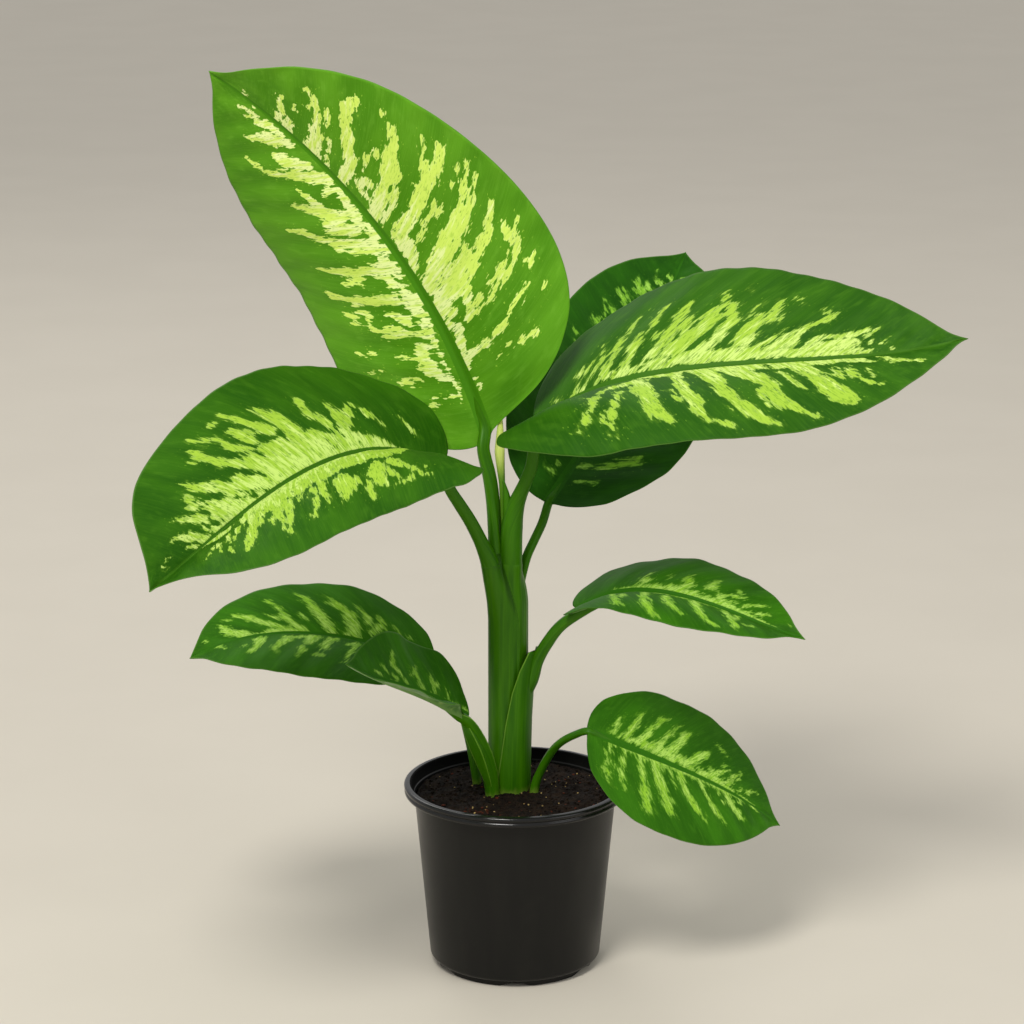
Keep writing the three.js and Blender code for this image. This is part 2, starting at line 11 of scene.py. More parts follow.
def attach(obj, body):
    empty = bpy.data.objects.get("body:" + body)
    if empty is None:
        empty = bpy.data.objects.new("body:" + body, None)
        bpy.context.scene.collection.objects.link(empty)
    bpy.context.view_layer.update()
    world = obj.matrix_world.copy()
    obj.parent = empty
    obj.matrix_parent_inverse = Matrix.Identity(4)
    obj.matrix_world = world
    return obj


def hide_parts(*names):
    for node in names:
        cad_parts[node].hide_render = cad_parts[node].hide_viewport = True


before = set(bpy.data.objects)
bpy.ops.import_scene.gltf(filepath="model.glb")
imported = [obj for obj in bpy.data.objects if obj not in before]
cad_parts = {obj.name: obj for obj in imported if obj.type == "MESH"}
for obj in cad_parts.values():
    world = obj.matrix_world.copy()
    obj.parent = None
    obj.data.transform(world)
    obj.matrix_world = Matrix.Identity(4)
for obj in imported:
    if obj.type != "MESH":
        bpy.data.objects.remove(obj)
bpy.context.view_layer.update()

# Lengths are in millimetres until a mesh is made
MM = 0.001

# The pot's section, as in the frame but for its higher arches
POT_HEIGHT = 144.0
RIM_RADIUS = 85.0
MOUTH_RADIUS = 79.5
WALL_TOP_RADIUS = 77.2
FOOT_RADIUS = 64.8
RING_RADIUS = 60.4
PAD_RADIUS = 44.0
WALL = 1.6
BASE = 4.5
FLOOR = 6.4
RIM_HEIGHT = 8.2
CORNER = 4.4
ARCHES = 6
ARCH_HEIGHT = 3.2
ARCH_HALF_ANGLE = 13.0
DRAIN_RADIUS = 3.5
DRAIN_CIRCLE = 50.0
POT_SIDES = 192
AXIS_WELD = 0.001

# The soil: its top, how far it keeps from the wall and above the floor, its roughness as amount,
# layer and frequency of noise, and its grains, some of them in a patch of bark chips
SOIL_EDGE = 134.0
SOIL_DOME = 3.0
SOIL_LUMPS = 0.7
SOIL_GAP = 0.35
SOIL_LIFT = 0.4
SOIL_RINGS = 84
SOIL_SIDES = 200
SOIL_ROUGHNESS = ((1.5, 3, 0.16), (1.1, 9, 0.42), (0.5, 21, 1.1))
CHIP_PATCH = (-29.0, -46.0)
CRUMBS = (
    dict(count=1500, sizes=(0.5, 1.5), tone=0.0, flatness=0.8),
    dict(count=60, sizes=(0.9, 2.2), tone=0.4, flatness=0.45),
    dict(count=60, sizes=(0.5, 1.1), tone=0.95, flatness=0.8),
    dict(count=22, sizes=(0.9, 2.2), tone=0.4, flatness=0.45, patch=9),
    dict(count=7, sizes=(0.6, 1.3), tone=0.95, flatness=0.8, patch=8),
)

# The cane of wrapped sheaths
CANE_AXIS = (-5.6, 5.0)
CANE_RADIUS = 14.5
CANE_ROOT = 112.0
CANE_FOOT = 116.0
CANE_TOP = 334.0
CANE_TAPER = 0.22
CANE_TAPER_START = 0.82
CANE_NARROWING = 0.42
CANE_DOME = 7.0
CANE_ROWS = 150
CANE_SIDES = 128
SHEATH_STEP = 1.0
LIP_HEIGHT = 0.35
MARGIN_START = 0.7
MARGIN_ANGLES = (-58.0, -130.0)
MARGIN_BEND = 1.6
BLEND = 2.0
BACK_MARGIN = 130.0

# The half sheath that still wraps the cane's right side
HALF_SHEATH = {
    "facing": -20.0,
    "inner_radius": 15.8,
    "thickness": 1.9,
    "edge": 0.8,
    "heights": (120, 139, 164, 194, 218, 236, 250),
    "half_angles": (107, 104, 91, 79, 67, 52, 34),
    "lean": (0, 0, 0.4, 1.2, 2.6, 4.6, 7),
    "rows": 70,
    "columns": 22,
}

# The petioles: the channel and its raised edges, how far along the midrib and how deep under it,
# in end radii, each one ends, and the pale foot that petioles and cane share and the painted shade beside
# the cane's sheath margin
PATH_STEPS = 24
TUBE_SIDES = 28
CHANNEL_DEPTH = 0.22
CHANNEL_WIDTH = 0.62
EDGE_ANGLE = 0.95
SEATS = ((0.0, 0.5), (9.0, 0.62), (24.0, 0.6))
SEAT_TAPER = (0.97, 0.85, 0.5)
FOOT_FADE = 14.0
FOOT_COLOUR = (112, 138, 48)
PAINTED_MARGIN_SHADE_COLOUR = (14, 48, 0)

YOUNG_LEAF = {
    "path": (
        (-8.5, 6, 326), (-8.8, 5.5, 354), (-9.7, 5.5, 378),
        (-11.4, 7, 402), (-11.2, 10, 420), (-10.6, 13, 436),
    ),
    "radii": (2.4, 2.3, 2.4, 4.0, 2.3, 0.5),
}

# The leaves. base is where the stalk meets the blade; heading, rise and roll are the midrib's
# compass turn, climb and turn about itself, in degrees; pairs are (left, right) as seen by someone
# who looks from the base to the tip. spread and bend lay out the veins. sag lowers the midrib's
# first part; clasp gives one half's base its own lobe and adds to its fold and curl, fading over run.
# stalk_edge and wing_edge raise the edges of a petiole's channel and of the wing beside it.
LEAVES = {
    "crown": dict(
        base=(-20, 12, 411.5), length=354, half_width=(99, 107), widest=(0.33, 0.36), lobe=(7, -13),
        fullness=0.51, tip_angle=63, heading=(189, 193), rise=(73, 54, 35), roll=(-107, -125),
        fold=(9, 11), curl=(-39, -34), wave=(5, 1.7, (6.2, 1.15)),
        spread=(1.35, 1.35), bend=(0.1, 0.1),
        stalk=(
            (-11, 3, 290), (-14.2, 1, 314), (-15, 2, 338), (-16.6, 3, 365), (-19.8, 4.5, 386.5),
            (-22.2, 5.5, 396), (-23.8, 7, 405),
        ),
        radii=(8, 6.4, 5.4, 5.3, 5.1, 5.0, 4.8), seats=((9.0, 0.4), (24.0, 0.62), (38.0, 0.6)), large=True,
    ),
    "right": dict(
        base=(14, -4, 429), length=332, half_width=(93, 95), widest=(0.3, 0.26), lobe=(0, 30),
        fullness=0.5, tip_angle=49, heading=(-19, 3), rise=(37, 6, 15), roll=(17, 38),
        fold=(24, 23), curl=(-26, -48), wave=(5, 1.6, (3.0, 3.6)),
        spread=(1.95, 1.65), bend=(0.1, 0.05), sag=(8.8, 72),
        clasp=dict(half=1, fold=35, curl=-60, run=150, handles=((-22.7, 64), (-4.8, 101))),
        stalk=(
            (-4, 1, 290), (-3, -1, 320), (-2.3, -2, 346), (0.4, -3, 363), (4, -3.5, 373), (7.3, -4, 381),
            (12, -4, 394), (13.5, -4, 405),
        ),
        radii=(9, 8.4, 8.2, 6.8, 5.7, 5.2, 5.0, 4.8), large=True,
        wing=((-4.5, -2, 345), (-5.4, -2.5, 362), (-6.9, -2.7, 373), (-8.8, -2.7, 383)),
        wing_radii=(4.6, 3.8, 2.4, 0.6),
    ),
    "left": dict(
        base=(-54.8, -20, 394), length=325, half_width=(98, 82), widest=(0.29, 0.26), lobe=(17, 12),
        fullness=0.76, tip_angle=72, heading=(226, 237), rise=(36, -11, -15), roll=(-15, -21),
        fold=(46, 45), curl=(-65, -29), wave=(6, 1.6, (6.85, 2.85)),
        spread=(1.6, 1.35), bend=(-0.05, 0.1), sag=(-7.6, 52),
        clasp=dict(half=0, fold=-31, curl=52, run=160, handles=((-3.2, 0.8), (25.5, 111))),
        stalk=(
            (-10, 0, 272), (-12.5, -2, 288), (-15.5, -3.5, 304), (-19.5, -5, 321), (-25.7, -8.5, 337),
            (-33.4, -13, 354), (-41.5, -17, 368.5), (-48.3, -20, 380.5),
        ),
        radii=(10, 8.6, 8, 6.9, 5.4, 5.1, 4.9, 4.6), large=True,
    ),
    "back": dict(
        base=(26, 25, 360), length=272, half_width=(74, 77), widest=(0.37, 0.37), lobe=(7, 4),
        fullness=0.57, tip_angle=64, heading=(54, 67), rise=(34, 34, 36), roll=(27, 19),
        fold=(15, 17), curl=(-3, -4), wave=(2.5, 1.9, (4.8, 1.5)),
        spread=(1.35, 1.35), bend=(0.1, 0.1),
        stalk=(
            (-1, 9, 272), (2, 10, 290), (5.8, 11, 308), (9.3, 13, 320), (14.6, 16, 331), (20.8, 19.5, 344),
        ),
        radii=(4.4, 3.8, 3.6, 3.5, 3.4, 3.4), large=True,
    ),
    "lower_left": dict(
        base=(-58, 22, 228), length=198, half_width=(54, 53), widest=(0.38, 0.38), lobe=(-1, -5),
        fullness=0.48, tip_angle=66, heading=(182, 185), rise=(25, 6, -29), roll=(-23, -30),
        fold=(17, 17), curl=(-23, -23), wave=(1, 1.9, (4.7, 3.3)),
        spread=(1.35, 1.9), bend=(0.1, 0.1),
        stalk=((-27, 15, 120), (-30, 17, 144), (-36, 19, 174), (-44, 21, 202)),
        radii=(4.2, 3.7, 3.3, 3.0), large=False,
    ),
    "small_left": dict(
        base=(-35, -34, 206), length=145, half_width=(38, 45), widest=(0.42, 0.35), lobe=(-9, 3),
        fullness=0.54, tip_angle=60, heading=(223, 229), rise=(40, 26, 33), roll=(-21, -35),
        fold=(23, 26), curl=(11, 6), wave=(3.5, 1.9, (5.4, 0.2)),
        spread=(1.35, 1.5), bend=(0.1, 0.1),
        clasp=dict(half=0, fold=0, curl=0, run=1, handles=((26, 2), (38, 30))),
        stalk=((-17, -15, 120), (-18, -15, 142), (-20, -16, 156), (-24, -19.5, 172), (-29.5, -26, 190)),
        radii=(4.4, 5, 5.6, 5.8, 4.8), large=False,
        wing=(
            (-17.5, -17.5, 140), (-20.5, -19.5, 152), (-24.5, -22.5, 166), (-29, -27, 180),
            (-34, -31.5, 193), (-38, -34.5, 203), (-41.5, -36.5, 210.5),
        ),
        wing_radii=(0.8, 2.8, 3.8, 4.2, 3.6, 2.4, 0.8), wing_up=(-0.4, -1.0, 0.0), wing_edge=0.3,
        stalk_edge=0.25,
    ),
    "side": dict(
        base=(50, -11, 286), length=180, half_width=(48, 49), widest=(0.37, 0.39), lobe=(11, 12),
        fullness=0.5, tip_angle=55, heading=(-20, -17), rise=(37, -10, -12), roll=(7, 21),
        fold=(27, 26), curl=(-42, -40), wave=(-1.5, 2, (5.3, 2.0)),
        spread=(1.8, 1.9), bend=(0.1, 0.05),
        stalk=((2, 3, 203), (12.2, -2, 226), (16.5, -3.6, 242), (24, -6.5, 257), (34, -9, 271)),
        radii=(5, 5.6, 5.4, 5.2, 4.8), large=False,
    ),
    "low": dict(
        base=(56, -49, 201), length=186, half_width=(55, 58), widest=(0.41, 0.39), lobe=(5, 2),
        fullness=0.57, tip_angle=56, heading=(15, 27), rise=(-28, -29, -43), roll=(53, 47),
        fold=(4, 3), curl=(-6, -12), wave=(1.5, 2, (0.3, 3.7)),
        spread=(1.75, 1.7), bend=(0.1, 0.1),
        stalk=(
            (14.6, -3.5, 120), (15, -4, 141), (19.5, -6.5, 155), (27.4, -14, 172), (34, -24, 182.7),
            (43.6, -36, 192.6),
        ),
        radii=(3.9, 3.8, 3.6, 3.3, 3.0, 2.9), large=False,
    ),
}

# The blades' build, as in the frame
PLAIN = {"half": None, "fold": 0, "curl": 0, "run": 1}
BASAL_SHARE = 0.13
BASAL_REACH = 0.1
DRIP_TIP = 5.0
DRIP_RUN = 8.0
LOBE_SWING = 2.2
LOBE_RISE = 0.2
SHOULDER = 0.15
TIP_REACH = 0.34
CURVE_STEPS = 60
KEEL_WIDTH = 4.5
KEEL_NARROWING = 0.6
KEEL_DEPTH = 0.9
KEEL_FADE = 0.8
LAST_ROW = 0.975
RIB_ROWS = {True: 22, False: 16}
RIB_RELIEF = {True: 0.55, False: 0.4}

# The fine blades' own values, where True stands for a large leaf; the streak values limit how far
# outside and inside the pale a point can count
BLADE_ROWS = {True: 210, False: 150}
BLADE_COLUMNS = {True: 46, False: 34}
FINE_LAST_ROW = 0.9975
THICKNESS = 0.8
EDGE_THINNING = 0.35
TIP_SIZE = 0.4
RIPPLE = 0.7
GROOVE_DEPTH = 0.16
GROOVE_WIDTH = 0.55
STREAK_FLOOR = -14.0
STREAK_TOP = 2.9

# The view, in metres: the lamps look at the plant's middle, the camera stands where the photograph's stood
PLANT_MIDDLE = (0, 0, 0.35)
CAMERA_PLACE = (-0.0023, -2.6, 1.054)
CAMERA_TILT = 15.0
FOCAL_PIXELS = 3585
PHOTO_PIXELS = 1024

# The pale streaks of each half blade, read one by one, and the dark slits that cut into the pale. Each one
# is a run of knots with three numbers to a knot: u, the share of the midrib where the knot's vein
# starts, v, how far out along the vein it lies, and the width there in millimetres.
STREAKS = {
    ("crown", 0): (
        (.095, .1, 1.5, .2, .11, 2.5, .3, .09, 4), (.105, .12, 1.5, .102, .28, 1), (.088, .36, 1,
        .092, .29, 1), (.135, .52, 1.5, .14, .42, 3, .148, .35, 2), (.15, .12, 6, .16, .24, 7,
        .175, .28, 4), (.17, .2, 8, .2, .24, 10, .225, .18, 6), (.2, .34, 2.5, .2, .42, 2),
        (.152, .71, 1.5, .163, .61, 1.5), (.193, .73, 1, .207, .58, 1.2), (.25, .12, 5, .25, .45, 4),
        (.265, .3, 7, .262, .5, 3), (.31, .35, 3, .29, .25, 9, .27, .12, 6), (.277, .62, 3.5,
        .283, .6, 3), (.297, .65, 2, .302, .5, 5, .27, .5, 2), (.335, .05, 9, .34, .3, 9, .335, .5, 8,
        .342, .7, 4), (.3, .1, 9, .37, .15, 12, .44, .12, 10), (.38, .52, 2, .385, .42, 6, .41, .35, 6),
        (.41, .1, 12, .415, .35, 9, .41, .5, 7, .413, .66, 2), (.428, .45, 1.2, .415, .38, 3),
        (.465, .05, 8, .465, .3, 4, .475, .42, 2), (.48, .1, 9, .485, .3, 9, .5, .48, 7, .52, .6, 7,
        .53, .7, 3), (.525, .18, 10, .53, .34, 13), (.5, .06, 8, .545, .1, 9, .62, .06, 6), (.56, .1, 9,
        .565, .3, 11, .585, .42, 9, .6, .52, 3), (.59, .32, 8, .625, .36, 5, .64, .4, 2), (.62, .2, 5,
        .63, .12, 5), (.66, .08, 12, .68, .3, 12, .688, .45, 7, .7, .58, 5, .74, .71, 3), (.7, .15, 8,
        .72, .3, 15, .735, .38, 8), (.765, .12, 9, .785, .28, 16, .795, .38, 8, .803, .62, 1.8),
        (.8, .12, 10, .825, .15, 12, .835, .28, 8), (.85, .16, 3, .855, .3, 2.5, .86, .4, 1.5),
        (.86, .2, 5, .885, .3, 6, .89, .38, 3), (.88, .09, 1.5, .885, .05, 1),
    ),
    ("crown", 1): (
        (.11, .08, 2, .13, .06, 2), (.13, .5, 1.5, .12, .64, 2), (.138, .3, 1, .14, .42, 1.5),
        (.157, .78, 1.5, .158, .8, 1.5), (.155, .04, 3, .18, .06, 4, .235, .1, 9), (.178, .1, 5,
        .175, .25, 3, .178, .44, 5), (.188, .48, 3, .185, .68, 2.5), (.205, .78, 3, .205, .82, 2),
        (.235, .28, 3, .233, .5, 3.5, .236, .7, 4, .25, .79, 5, .262, .86, 3), (.25, .3, 3, .252, .5, 2,
        .25, .68, 3), (.27, .76, 7, .28, .77, 4), (.24, .22, 6, .28, .3, 8), (.255, .03, 5, .27, .14, 5,
        .29, .08, 7), (.3, .05, 14, .31, .2, 18, .315, .42, 18), (.305, .5, 9, .305, .65, 7, .322, .8, 4),
        (.35, .08, 14, .365, .3, 18, .37, .5, 15, .365, .62, 10), (.365, .6, 7, .362, .72, 5,
        .372, .84, 3), (.38, .62, 4, .39, .75, 3, .388, .9, 2.5), (.4, .75, 1.5, .413, .8, 4),
        (.415, .42, 1.5, .415, .54, 1.5), (.43, .4, 1.5, .432, .52, 1.5), (.4, .05, 9, .43, .12, 14,
        .46, .1, 12), (.425, .2, 4, .43, .35, 4), (.47, .1, 11, .465, .35, 11, .465, .5, 10, .46, .62, 13,
        .45, .72, 7, .455, .84, 5), (.47, .5, 6, .49, .5, 2), (.475, .6, 6, .483, .72, 4, .492, .82, 2.5),
        (.515, .05, 2, .51, .2, 4, .515, .38, 3), (.54, .05, 12, .54, .25, 13, .545, .45, 17,
        .555, .55, 14, .552, .64, 8, .562, .76, 5), (.57, .12, 5, .6, .15, 8, .58, .24, 6), (.605, .3, 3,
        .605, .42, 2), (.585, .48, 4, .59, .52, 3), (.64, .04, 11, .635, .2, 11, .64, .3, 13,
        .655, .42, 9, .665, .6, 10, .67, .72, 8, .65, .81, 7), (.685, .04, 3, .69, .12, 4), (.69, .2, 1.5,
        .695, .32, 2), (.705, .45, 3, .712, .62, 4), (.73, .03, 15, .725, .18, 14, .73, .32, 11,
        .732, .4, 4, .73, .5, 7, .74, .64, 5, .747, .77, 3.5), (.8, .02, 9, .795, .18, 9, .805, .26, 4),
        (.83, .02, 4, .817, .28, 5, .825, .42, 5, .82, .54, 4), (.785, .42, 1.5, .785, .5, 1.5),
        (.758, .52, 1.2, .76, .55, 1.2), (.757, .74, 1.2, .76, .77, 1.2), (.585, .8, 1.2, .59, .82, 1.2),
        (.41, .68, 1.5, .413, .7, 1.5), (.91, .05, 1.5, .912, .28, 1.2),
    ),
    ("right", 0): (
        (.07, .08, 1, .055, .15, 1), (.09, .28, 1, .097, .05, 1.5), (.1, .3, 1.5, .105, .03, 1.5),
        (.1, .44, 1, .11, .37, 2), (.12, .68, 1, .13, .55, 2, .133, .5, 1.5), (.125, .3, 1.5,
        .122, .03, 2.5), (.125, .48, 2, .14, .35, 3, .145, .22, 3), (.15, .25, 3, .155, .08, 4),
        (.162, .7, 1.5, .168, .58, 4, .178, .52, 2), (.17, .45, 2, .18, .35, 6, .195, .25, 6, .2, .12, 6),
        (.155, .2, 7, .17, .1, 9), (.17, .1, 6, .25, .1, 10, .35, .12, 14, .5, .12, 14, .62, .13, 14,
        .7, .11, 10, .75, .08, 6), (.212, .66, 3, .222, .58, 6, .235, .45, 6, .245, .3, 9, .25, .2, 10),
        (.203, .45, 2, .21, .38, 3), (.265, .74, 2, .28, .7, 4), (.25, .5, 5, .27, .4, 10, .285, .25, 14),
        (.295, .66, 3, .315, .6, 7, .345, .53, 6), (.3, .58, 10, .305, .4, 16, .3, .2, 16), (.305, .8, 1,
        .315, .78, 1.2), (.34, .66, 1, .343, .65, 1), (.36, .5, 7, .37, .35, 9, .365, .15, 14),
        (.375, .68, 1.5, .378, .58, 3, .38, .5, 3), (.4, .73, 2, .42, .66, 6, .43, .58, 9, .45, .5, 8),
        (.405, .55, 4, .42, .45, 14, .44, .3, 16, .45, .15, 14), (.435, .75, 1, .445, .745, 1.5),
        (.47, .71, 1, .475, .72, 1), (.465, .52, 1.5, .475, .5, 1), (.49, .2, 10, .5, .3, 5),
        (.505, .43, 2, .515, .38, 3, .53, .3, 10, .54, .2, 12), (.575, .66, 3, .573, .58, 6, .555, .5, 5,
        .545, .4, 7, .56, .25, 8, .57, .15, 8), (.535, .7, 1.5, .548, .66, 3), (.565, .45, 2,
        .57, .43, 2), (.605, .2, 9, .61, .38, 6), (.63, .36, 8, .66, .4, 10, .69, .46, 10, .715, .54, 8),
        (.65, .2, 24, .69, .25, 24), (.72, .5, 4, .715, .42, 8), (.74, .15, 10, .76, .12, 9,
        .775, .05, 5), (.775, .45, 1.2, .78, .3, 2.5), (.745, .38, 1.2, .75, .28, 2), (.812, .2, 1,
        .82, .12, 1),
    ),
    ("right", 1): (
        (.12, .33, 2, .14, .4, 3), (.132, .42, 3, .127, .53, 4, .109, .64, 3, .096, .73, 1.6,
        .088, .81, 1), (.16, .32, 4, .19, .24, 8, .24, .16, 9), (.198, .35, 4, .172, .5, 4, .149, .64, 4,
        .139, .75, 3, .133, .86, 1.4), (.143, .6, 1.6, .13, .71, 1.4), (.25, .18, 12, .24, .35, 12,
        .235, .5, 12, .225, .6, 10, .235, .78, 6), (.21, .6, 2, .212, .75, 1.5), (.27, .08, 8, .33, .1, 8,
        .36, .05, 6), (.335, .15, 7, .325, .3, 7, .315, .4, 7, .31, .55, 9, .3, .68, 6, .295, .82, 4),
        (.315, .85, 5, .33, .87, 4), (.29, .42, 3, .28, .55, 3), (.38, .08, 12, .45, .1, 18, .55, .1, 18,
        .62, .1, 14, .7, .1, 14, .75, .12, 8), (.4, .2, 16, .39, .35, 12, .385, .55, 12, .385, .72, 14,
        .395, .84, 8, .42, .9, 3), (.46, .2, 20, .485, .35, 18, .49, .48, 10, .47, .6, 13, .47, .72, 13,
        .485, .8, 7, .505, .9, 3), (.45, .55, 3, .44, .72, 5), (.545, .3, 4, .54, .42, 3, .54, .6, 2),
        (.6, .15, 14, .605, .35, 13, .6, .5, 15, .595, .65, 18, .6, .8, 18), (.645, .45, 2, .648, .53, 2),
        (.66, .3, 5, .655, .45, 4), (.68, .4, 5, .678, .55, 4, .685, .72, 4), (.695, .3, 4, .685, .42, 5),
        (.7, .66, 2, .715, .55, 2, .725, .42, 2.5), (.697, .8, 2, .7, .8, 1.5), (.72, .15, 12, .75, .2, 6,
        .765, .27, 4), (.79, .12, 3, .8, .3, 5, .815, .45, 8, .835, .58, 8, .845, .7, 4), (.79, .3, 2,
        .79, .5, 2),
    ),
    ("left", 0): (
        (.22, .25, 44, .35, .2, 44, .5, .2, 42, .62, .2, 40), (.15, .73, 2, .175, .75, 3, .2, .66, 5,
        .23, .55, 8), (.155, .82, 1, .17, .78, 2), (.195, .8, 1.5, .24, .8, 2), (.225, .75, 3,
        .24, .68, 6, .27, .58, 12), (.265, .78, 4, .275, .7, 10, .285, .6, 10), (.305, .84, 2,
        .31, .76, 7, .3, .7, 5), (.39, .75, 3, .375, .7, 9, .36, .64, 14, .38, .55, 14), (.33, .66, 3,
        .335, .58, 4), (.43, .7, 3, .435, .58, 7, .43, .48, 10), (.485, .75, 4, .475, .7, 5, .46, .62, 5,
        .46, .5, 8), (.5, .55, 2, .5, .42, 4), (.562, .8, 1.2, .555, .72, 3, .545, .62, 6, .54, .45, 12),
        (.578, .7, 1.5, .57, .6, 4, .57, .45, 12), (.592, .6, 2, .6, .52, 4), (.69, .74, 2, .675, .66, 10,
        .66, .56, 9, .645, .42, 12, .625, .25, 14), (.625, .48, 4, .615, .35, 8), (.725, .7, 1,
        .732, .6, 2.5, .728, .5, 2), (.71, .5, 4, .695, .38, 5, .69, .3, 4), (.73, .45, 3, .725, .32, 4),
        (.758, .55, 1.5, .755, .45, 4, .765, .32, 4), (.805, .57, 2, .785, .45, 3, .775, .38, 3),
        (.72, .18, 8, .76, .12, 14, .8, .03, 8),
    ),
    ("left", 1): (
        (.15, .03, 4, .2, .08, 10, .3, .12, 20, .4, .18, 30, .5, .2, 34, .6, .15, 28, .7, .12, 22,
        .75, .1, 14), (.085, .25, 1.5, .095, .4, 1.5), (.165, .28, 3, .185, .4, 5), (.2, .48, 2,
        .225, .42, 5, .25, .32, 8), (.28, .2, 8, .265, .35, 9, .25, .5, 4), (.3, .35, 8, .315, .48, 6,
        .3, .6, 3), (.38, .4, 12, .385, .55, 9, .395, .68, 4), (.43, .5, 14, .44, .62, 8, .45, .8, 3),
        (.48, .5, 10, .48, .65, 4), (.47, .78, 1.5, .48, .8, 2, .49, .79, 1.5), (.51, .4, 10, .52, .55, 6,
        .52, .68, 5, .535, .74, 4, .542, .82, 2), (.56, .4, 9, .575, .5, 9, .58, .6, 6, .575, .68, 7,
        .57, .76, 2), (.595, .65, 3, .6, .7, 2), (.6, .15, 10, .63, .3, 10, .66, .45, 10, .67, .55, 7,
        .665, .62, 3), (.675, .55, 3, .685, .55, 2), (.68, .2, 12, .71, .35, 9, .72, .45, 6, .71, .5, 4),
        (.7, .42, 5, .705, .52, 4), (.74, .25, 9, .755, .35, 8, .77, .45, 5, .78, .53, 2.5), (.79, .05, 8,
        .805, .25, 8, .815, .35, 5, .832, .44, 2), (.82, .08, 4, .835, .18, 2), (.888, .33, 1,
        .895, .42, 1), (.92, .2, 1.2, .92, .4, 1),
    ),
    ("back", 0): (
        (.075, .3, 2, .078, .15, 2), (.105, .15, 2, .11, .12, 2), (.52, .65, 1.2, .545, .63, 2,
        .58, .6, 1.5), (.6, .73, 1, .58, .62, 1.5), (.67, .68, 5, .665, .55, 4), (.765, .66, 3,
        .75, .55, 7, .745, .45, 9), (.73, .58, 3, .735, .5, 5), (.785, .52, 3, .78, .42, 5), (.825, .5, 2,
        .825, .38, 6, .835, .3, 5), (.855, .62, 2.5, .85, .58, 2), (.44, .78, 1.5, .442, .72, 2),
    ),
    ("back", 1): (
        (.08, .15, 1, .083, .38, 2), (.138, .08, 3, .133, .25, 4, .148, .45, 6, .14, .65, 3), (.16, .4, 3,
        .16, .6, 2.5),
    ),
    ("lower_left", 0): (
        (.295, .6, 2, .305, .45, 2.5, .315, .3, 4, .325, .13, 5), (.345, .2, 3, .35, .15, 3),
        (.39, .57, 2, .42, .55, 2.5), (.405, .42, 3, .425, .28, 7, .42, .12, 8), (.485, .65, 1.5,
        .48, .53, 5, .5, .42, 5), (.485, .3, 7, .5, .14, 10), (.47, .13, 4, .6, .16, 5), (.575, .58, 3,
        .6, .48, 5, .59, .3, 8, .585, .2, 8), (.69, .58, 6, .685, .4, 6, .69, .27, 9, .7, .18, 10),
        (.735, .42, 3, .74, .4, 3), (.83, .4, 2, .87, .2, 5, .88, .1, 4), (.15, .12, 3, .14, .4, 2),
        (.22, .1, 4, .21, .5, 2.5),
    ),
    ("lower_left", 1): (
        (.08, .35, 1, .085, .3, 1), (.11, .4, 1.5, .115, .32, 1.2), (.25, .16, 3, .2, .28, 4, .16, .38, 4,
        .145, .5, 3), (.195, .6, 3, .195, .48, 6, .22, .33, 4), (.33, .08, 8, .31, .2, 8, .28, .35, 8,
        .26, .48, 8, .265, .6, 5, .265, .7, 3), (.28, .55, 4, .29, .62, 3), (.42, .07, 8, .41, .2, 9,
        .395, .35, 9, .375, .5, 7, .365, .62, 5, .35, .74, 5), (.34, .08, 6, .37, .06, 4), (.535, .06, 9,
        .535, .25, 7, .53, .38, 5, .515, .5, 3, .495, .6, 4), (.485, .76, 3, .49, .7, 2), (.57, .06, 9,
        .65, .06, 10, .7, .02, 6), (.6, .15, 7, .62, .28, 8, .63, .35, 6), (.635, .35, 8, .64, .5, 8,
        .65, .75, 4), (.56, .35, 3, .57, .5, 3), (.755, .03, 12, .76, .2, 13, .775, .35, 11, .77, .5, 8,
        .75, .72, 4), (.7, .72, 2, .705, .8, 1.5), (.875, .55, 2, .875, .75, 2), (.46, .4, 2, .47, .3, 3),
    ),
    ("small_left", 0): (
        (.15, .1, 3, .14, .35, 2), (.25, .1, 3, .24, .5, 2), (.36, .08, 4, .35, .4, 2), (.47, .1, 4,
        .46, .5, 2.5), (.58, .08, 4, .57, .45, 2), (.68, .08, 3, .67, .4, 2),
    ),
    ("small_left", 1): (
        (.02, .25, 3, .06, .1, 4, .12, .04, 4, .3, .03, 3), (.25, .08, 3, .25, .28, 3, .23, .43, 2),
        (.22, .28, 2, .2, .35, 1.5), (.36, .12, 3, .36, .32, 4, .34, .45, 2.5, .315, .53, 1.5),
        (.4, .3, 1.5, .365, .42, 2), (.49, .12, 3, .51, .3, 3.5, .54, .44, 4, .52, .52, 2, .5, .62, 3),
        (.55, .17, 3, .6, .2, 3.5, .635, .37, 2, .65, .42, 1.5), (.57, .08, 1.5, .63, .04, 1.5),
        (.69, .15, 3.5, .73, .23, 4), (.15, .15, 1.5, .14, .28, 1.5),
    ),
    ("side", 0): (
        (.14, .06, 2, .25, .1, 5, .4, .12, 9, .5, .1, 8, .62, .14, 8, .7, .15, 6, .8, .12, 6, .86, .1, 5),
        (.225, .4, 2, .22, .3, 3, .25, .22, 5), (.3, .42, 1.5, .31, .36, 1.5), (.36, .48, 2, .38, .38, 5,
        .41, .25, 10), (.445, .62, 1.5, .455, .5, 3, .475, .42, 7, .49, .35, 4), (.55, .62, 1.5,
        .59, .55, 3, .61, .5, 4, .575, .45, 4, .555, .35, 4), (.52, .38, 1.5, .55, .3, 4, .58, .2, 6),
        (.62, .3, 4, .6, .22, 5), (.71, .7, 1.5, .685, .58, 3, .67, .45, 3, .67, .3, 4), (.765, .5, 3,
        .75, .38, 5, .73, .28, 4, .7, .2, 5), (.875, .8, 1.5, .88, .72, 1.5),
    ),
    ("side", 1): (
        (.14, .1, 5, .125, .35, 4, .11, .6, 3, .107, .78, 3), (.165, .3, 4, .14, .5, 3), (.28, .12, 5,
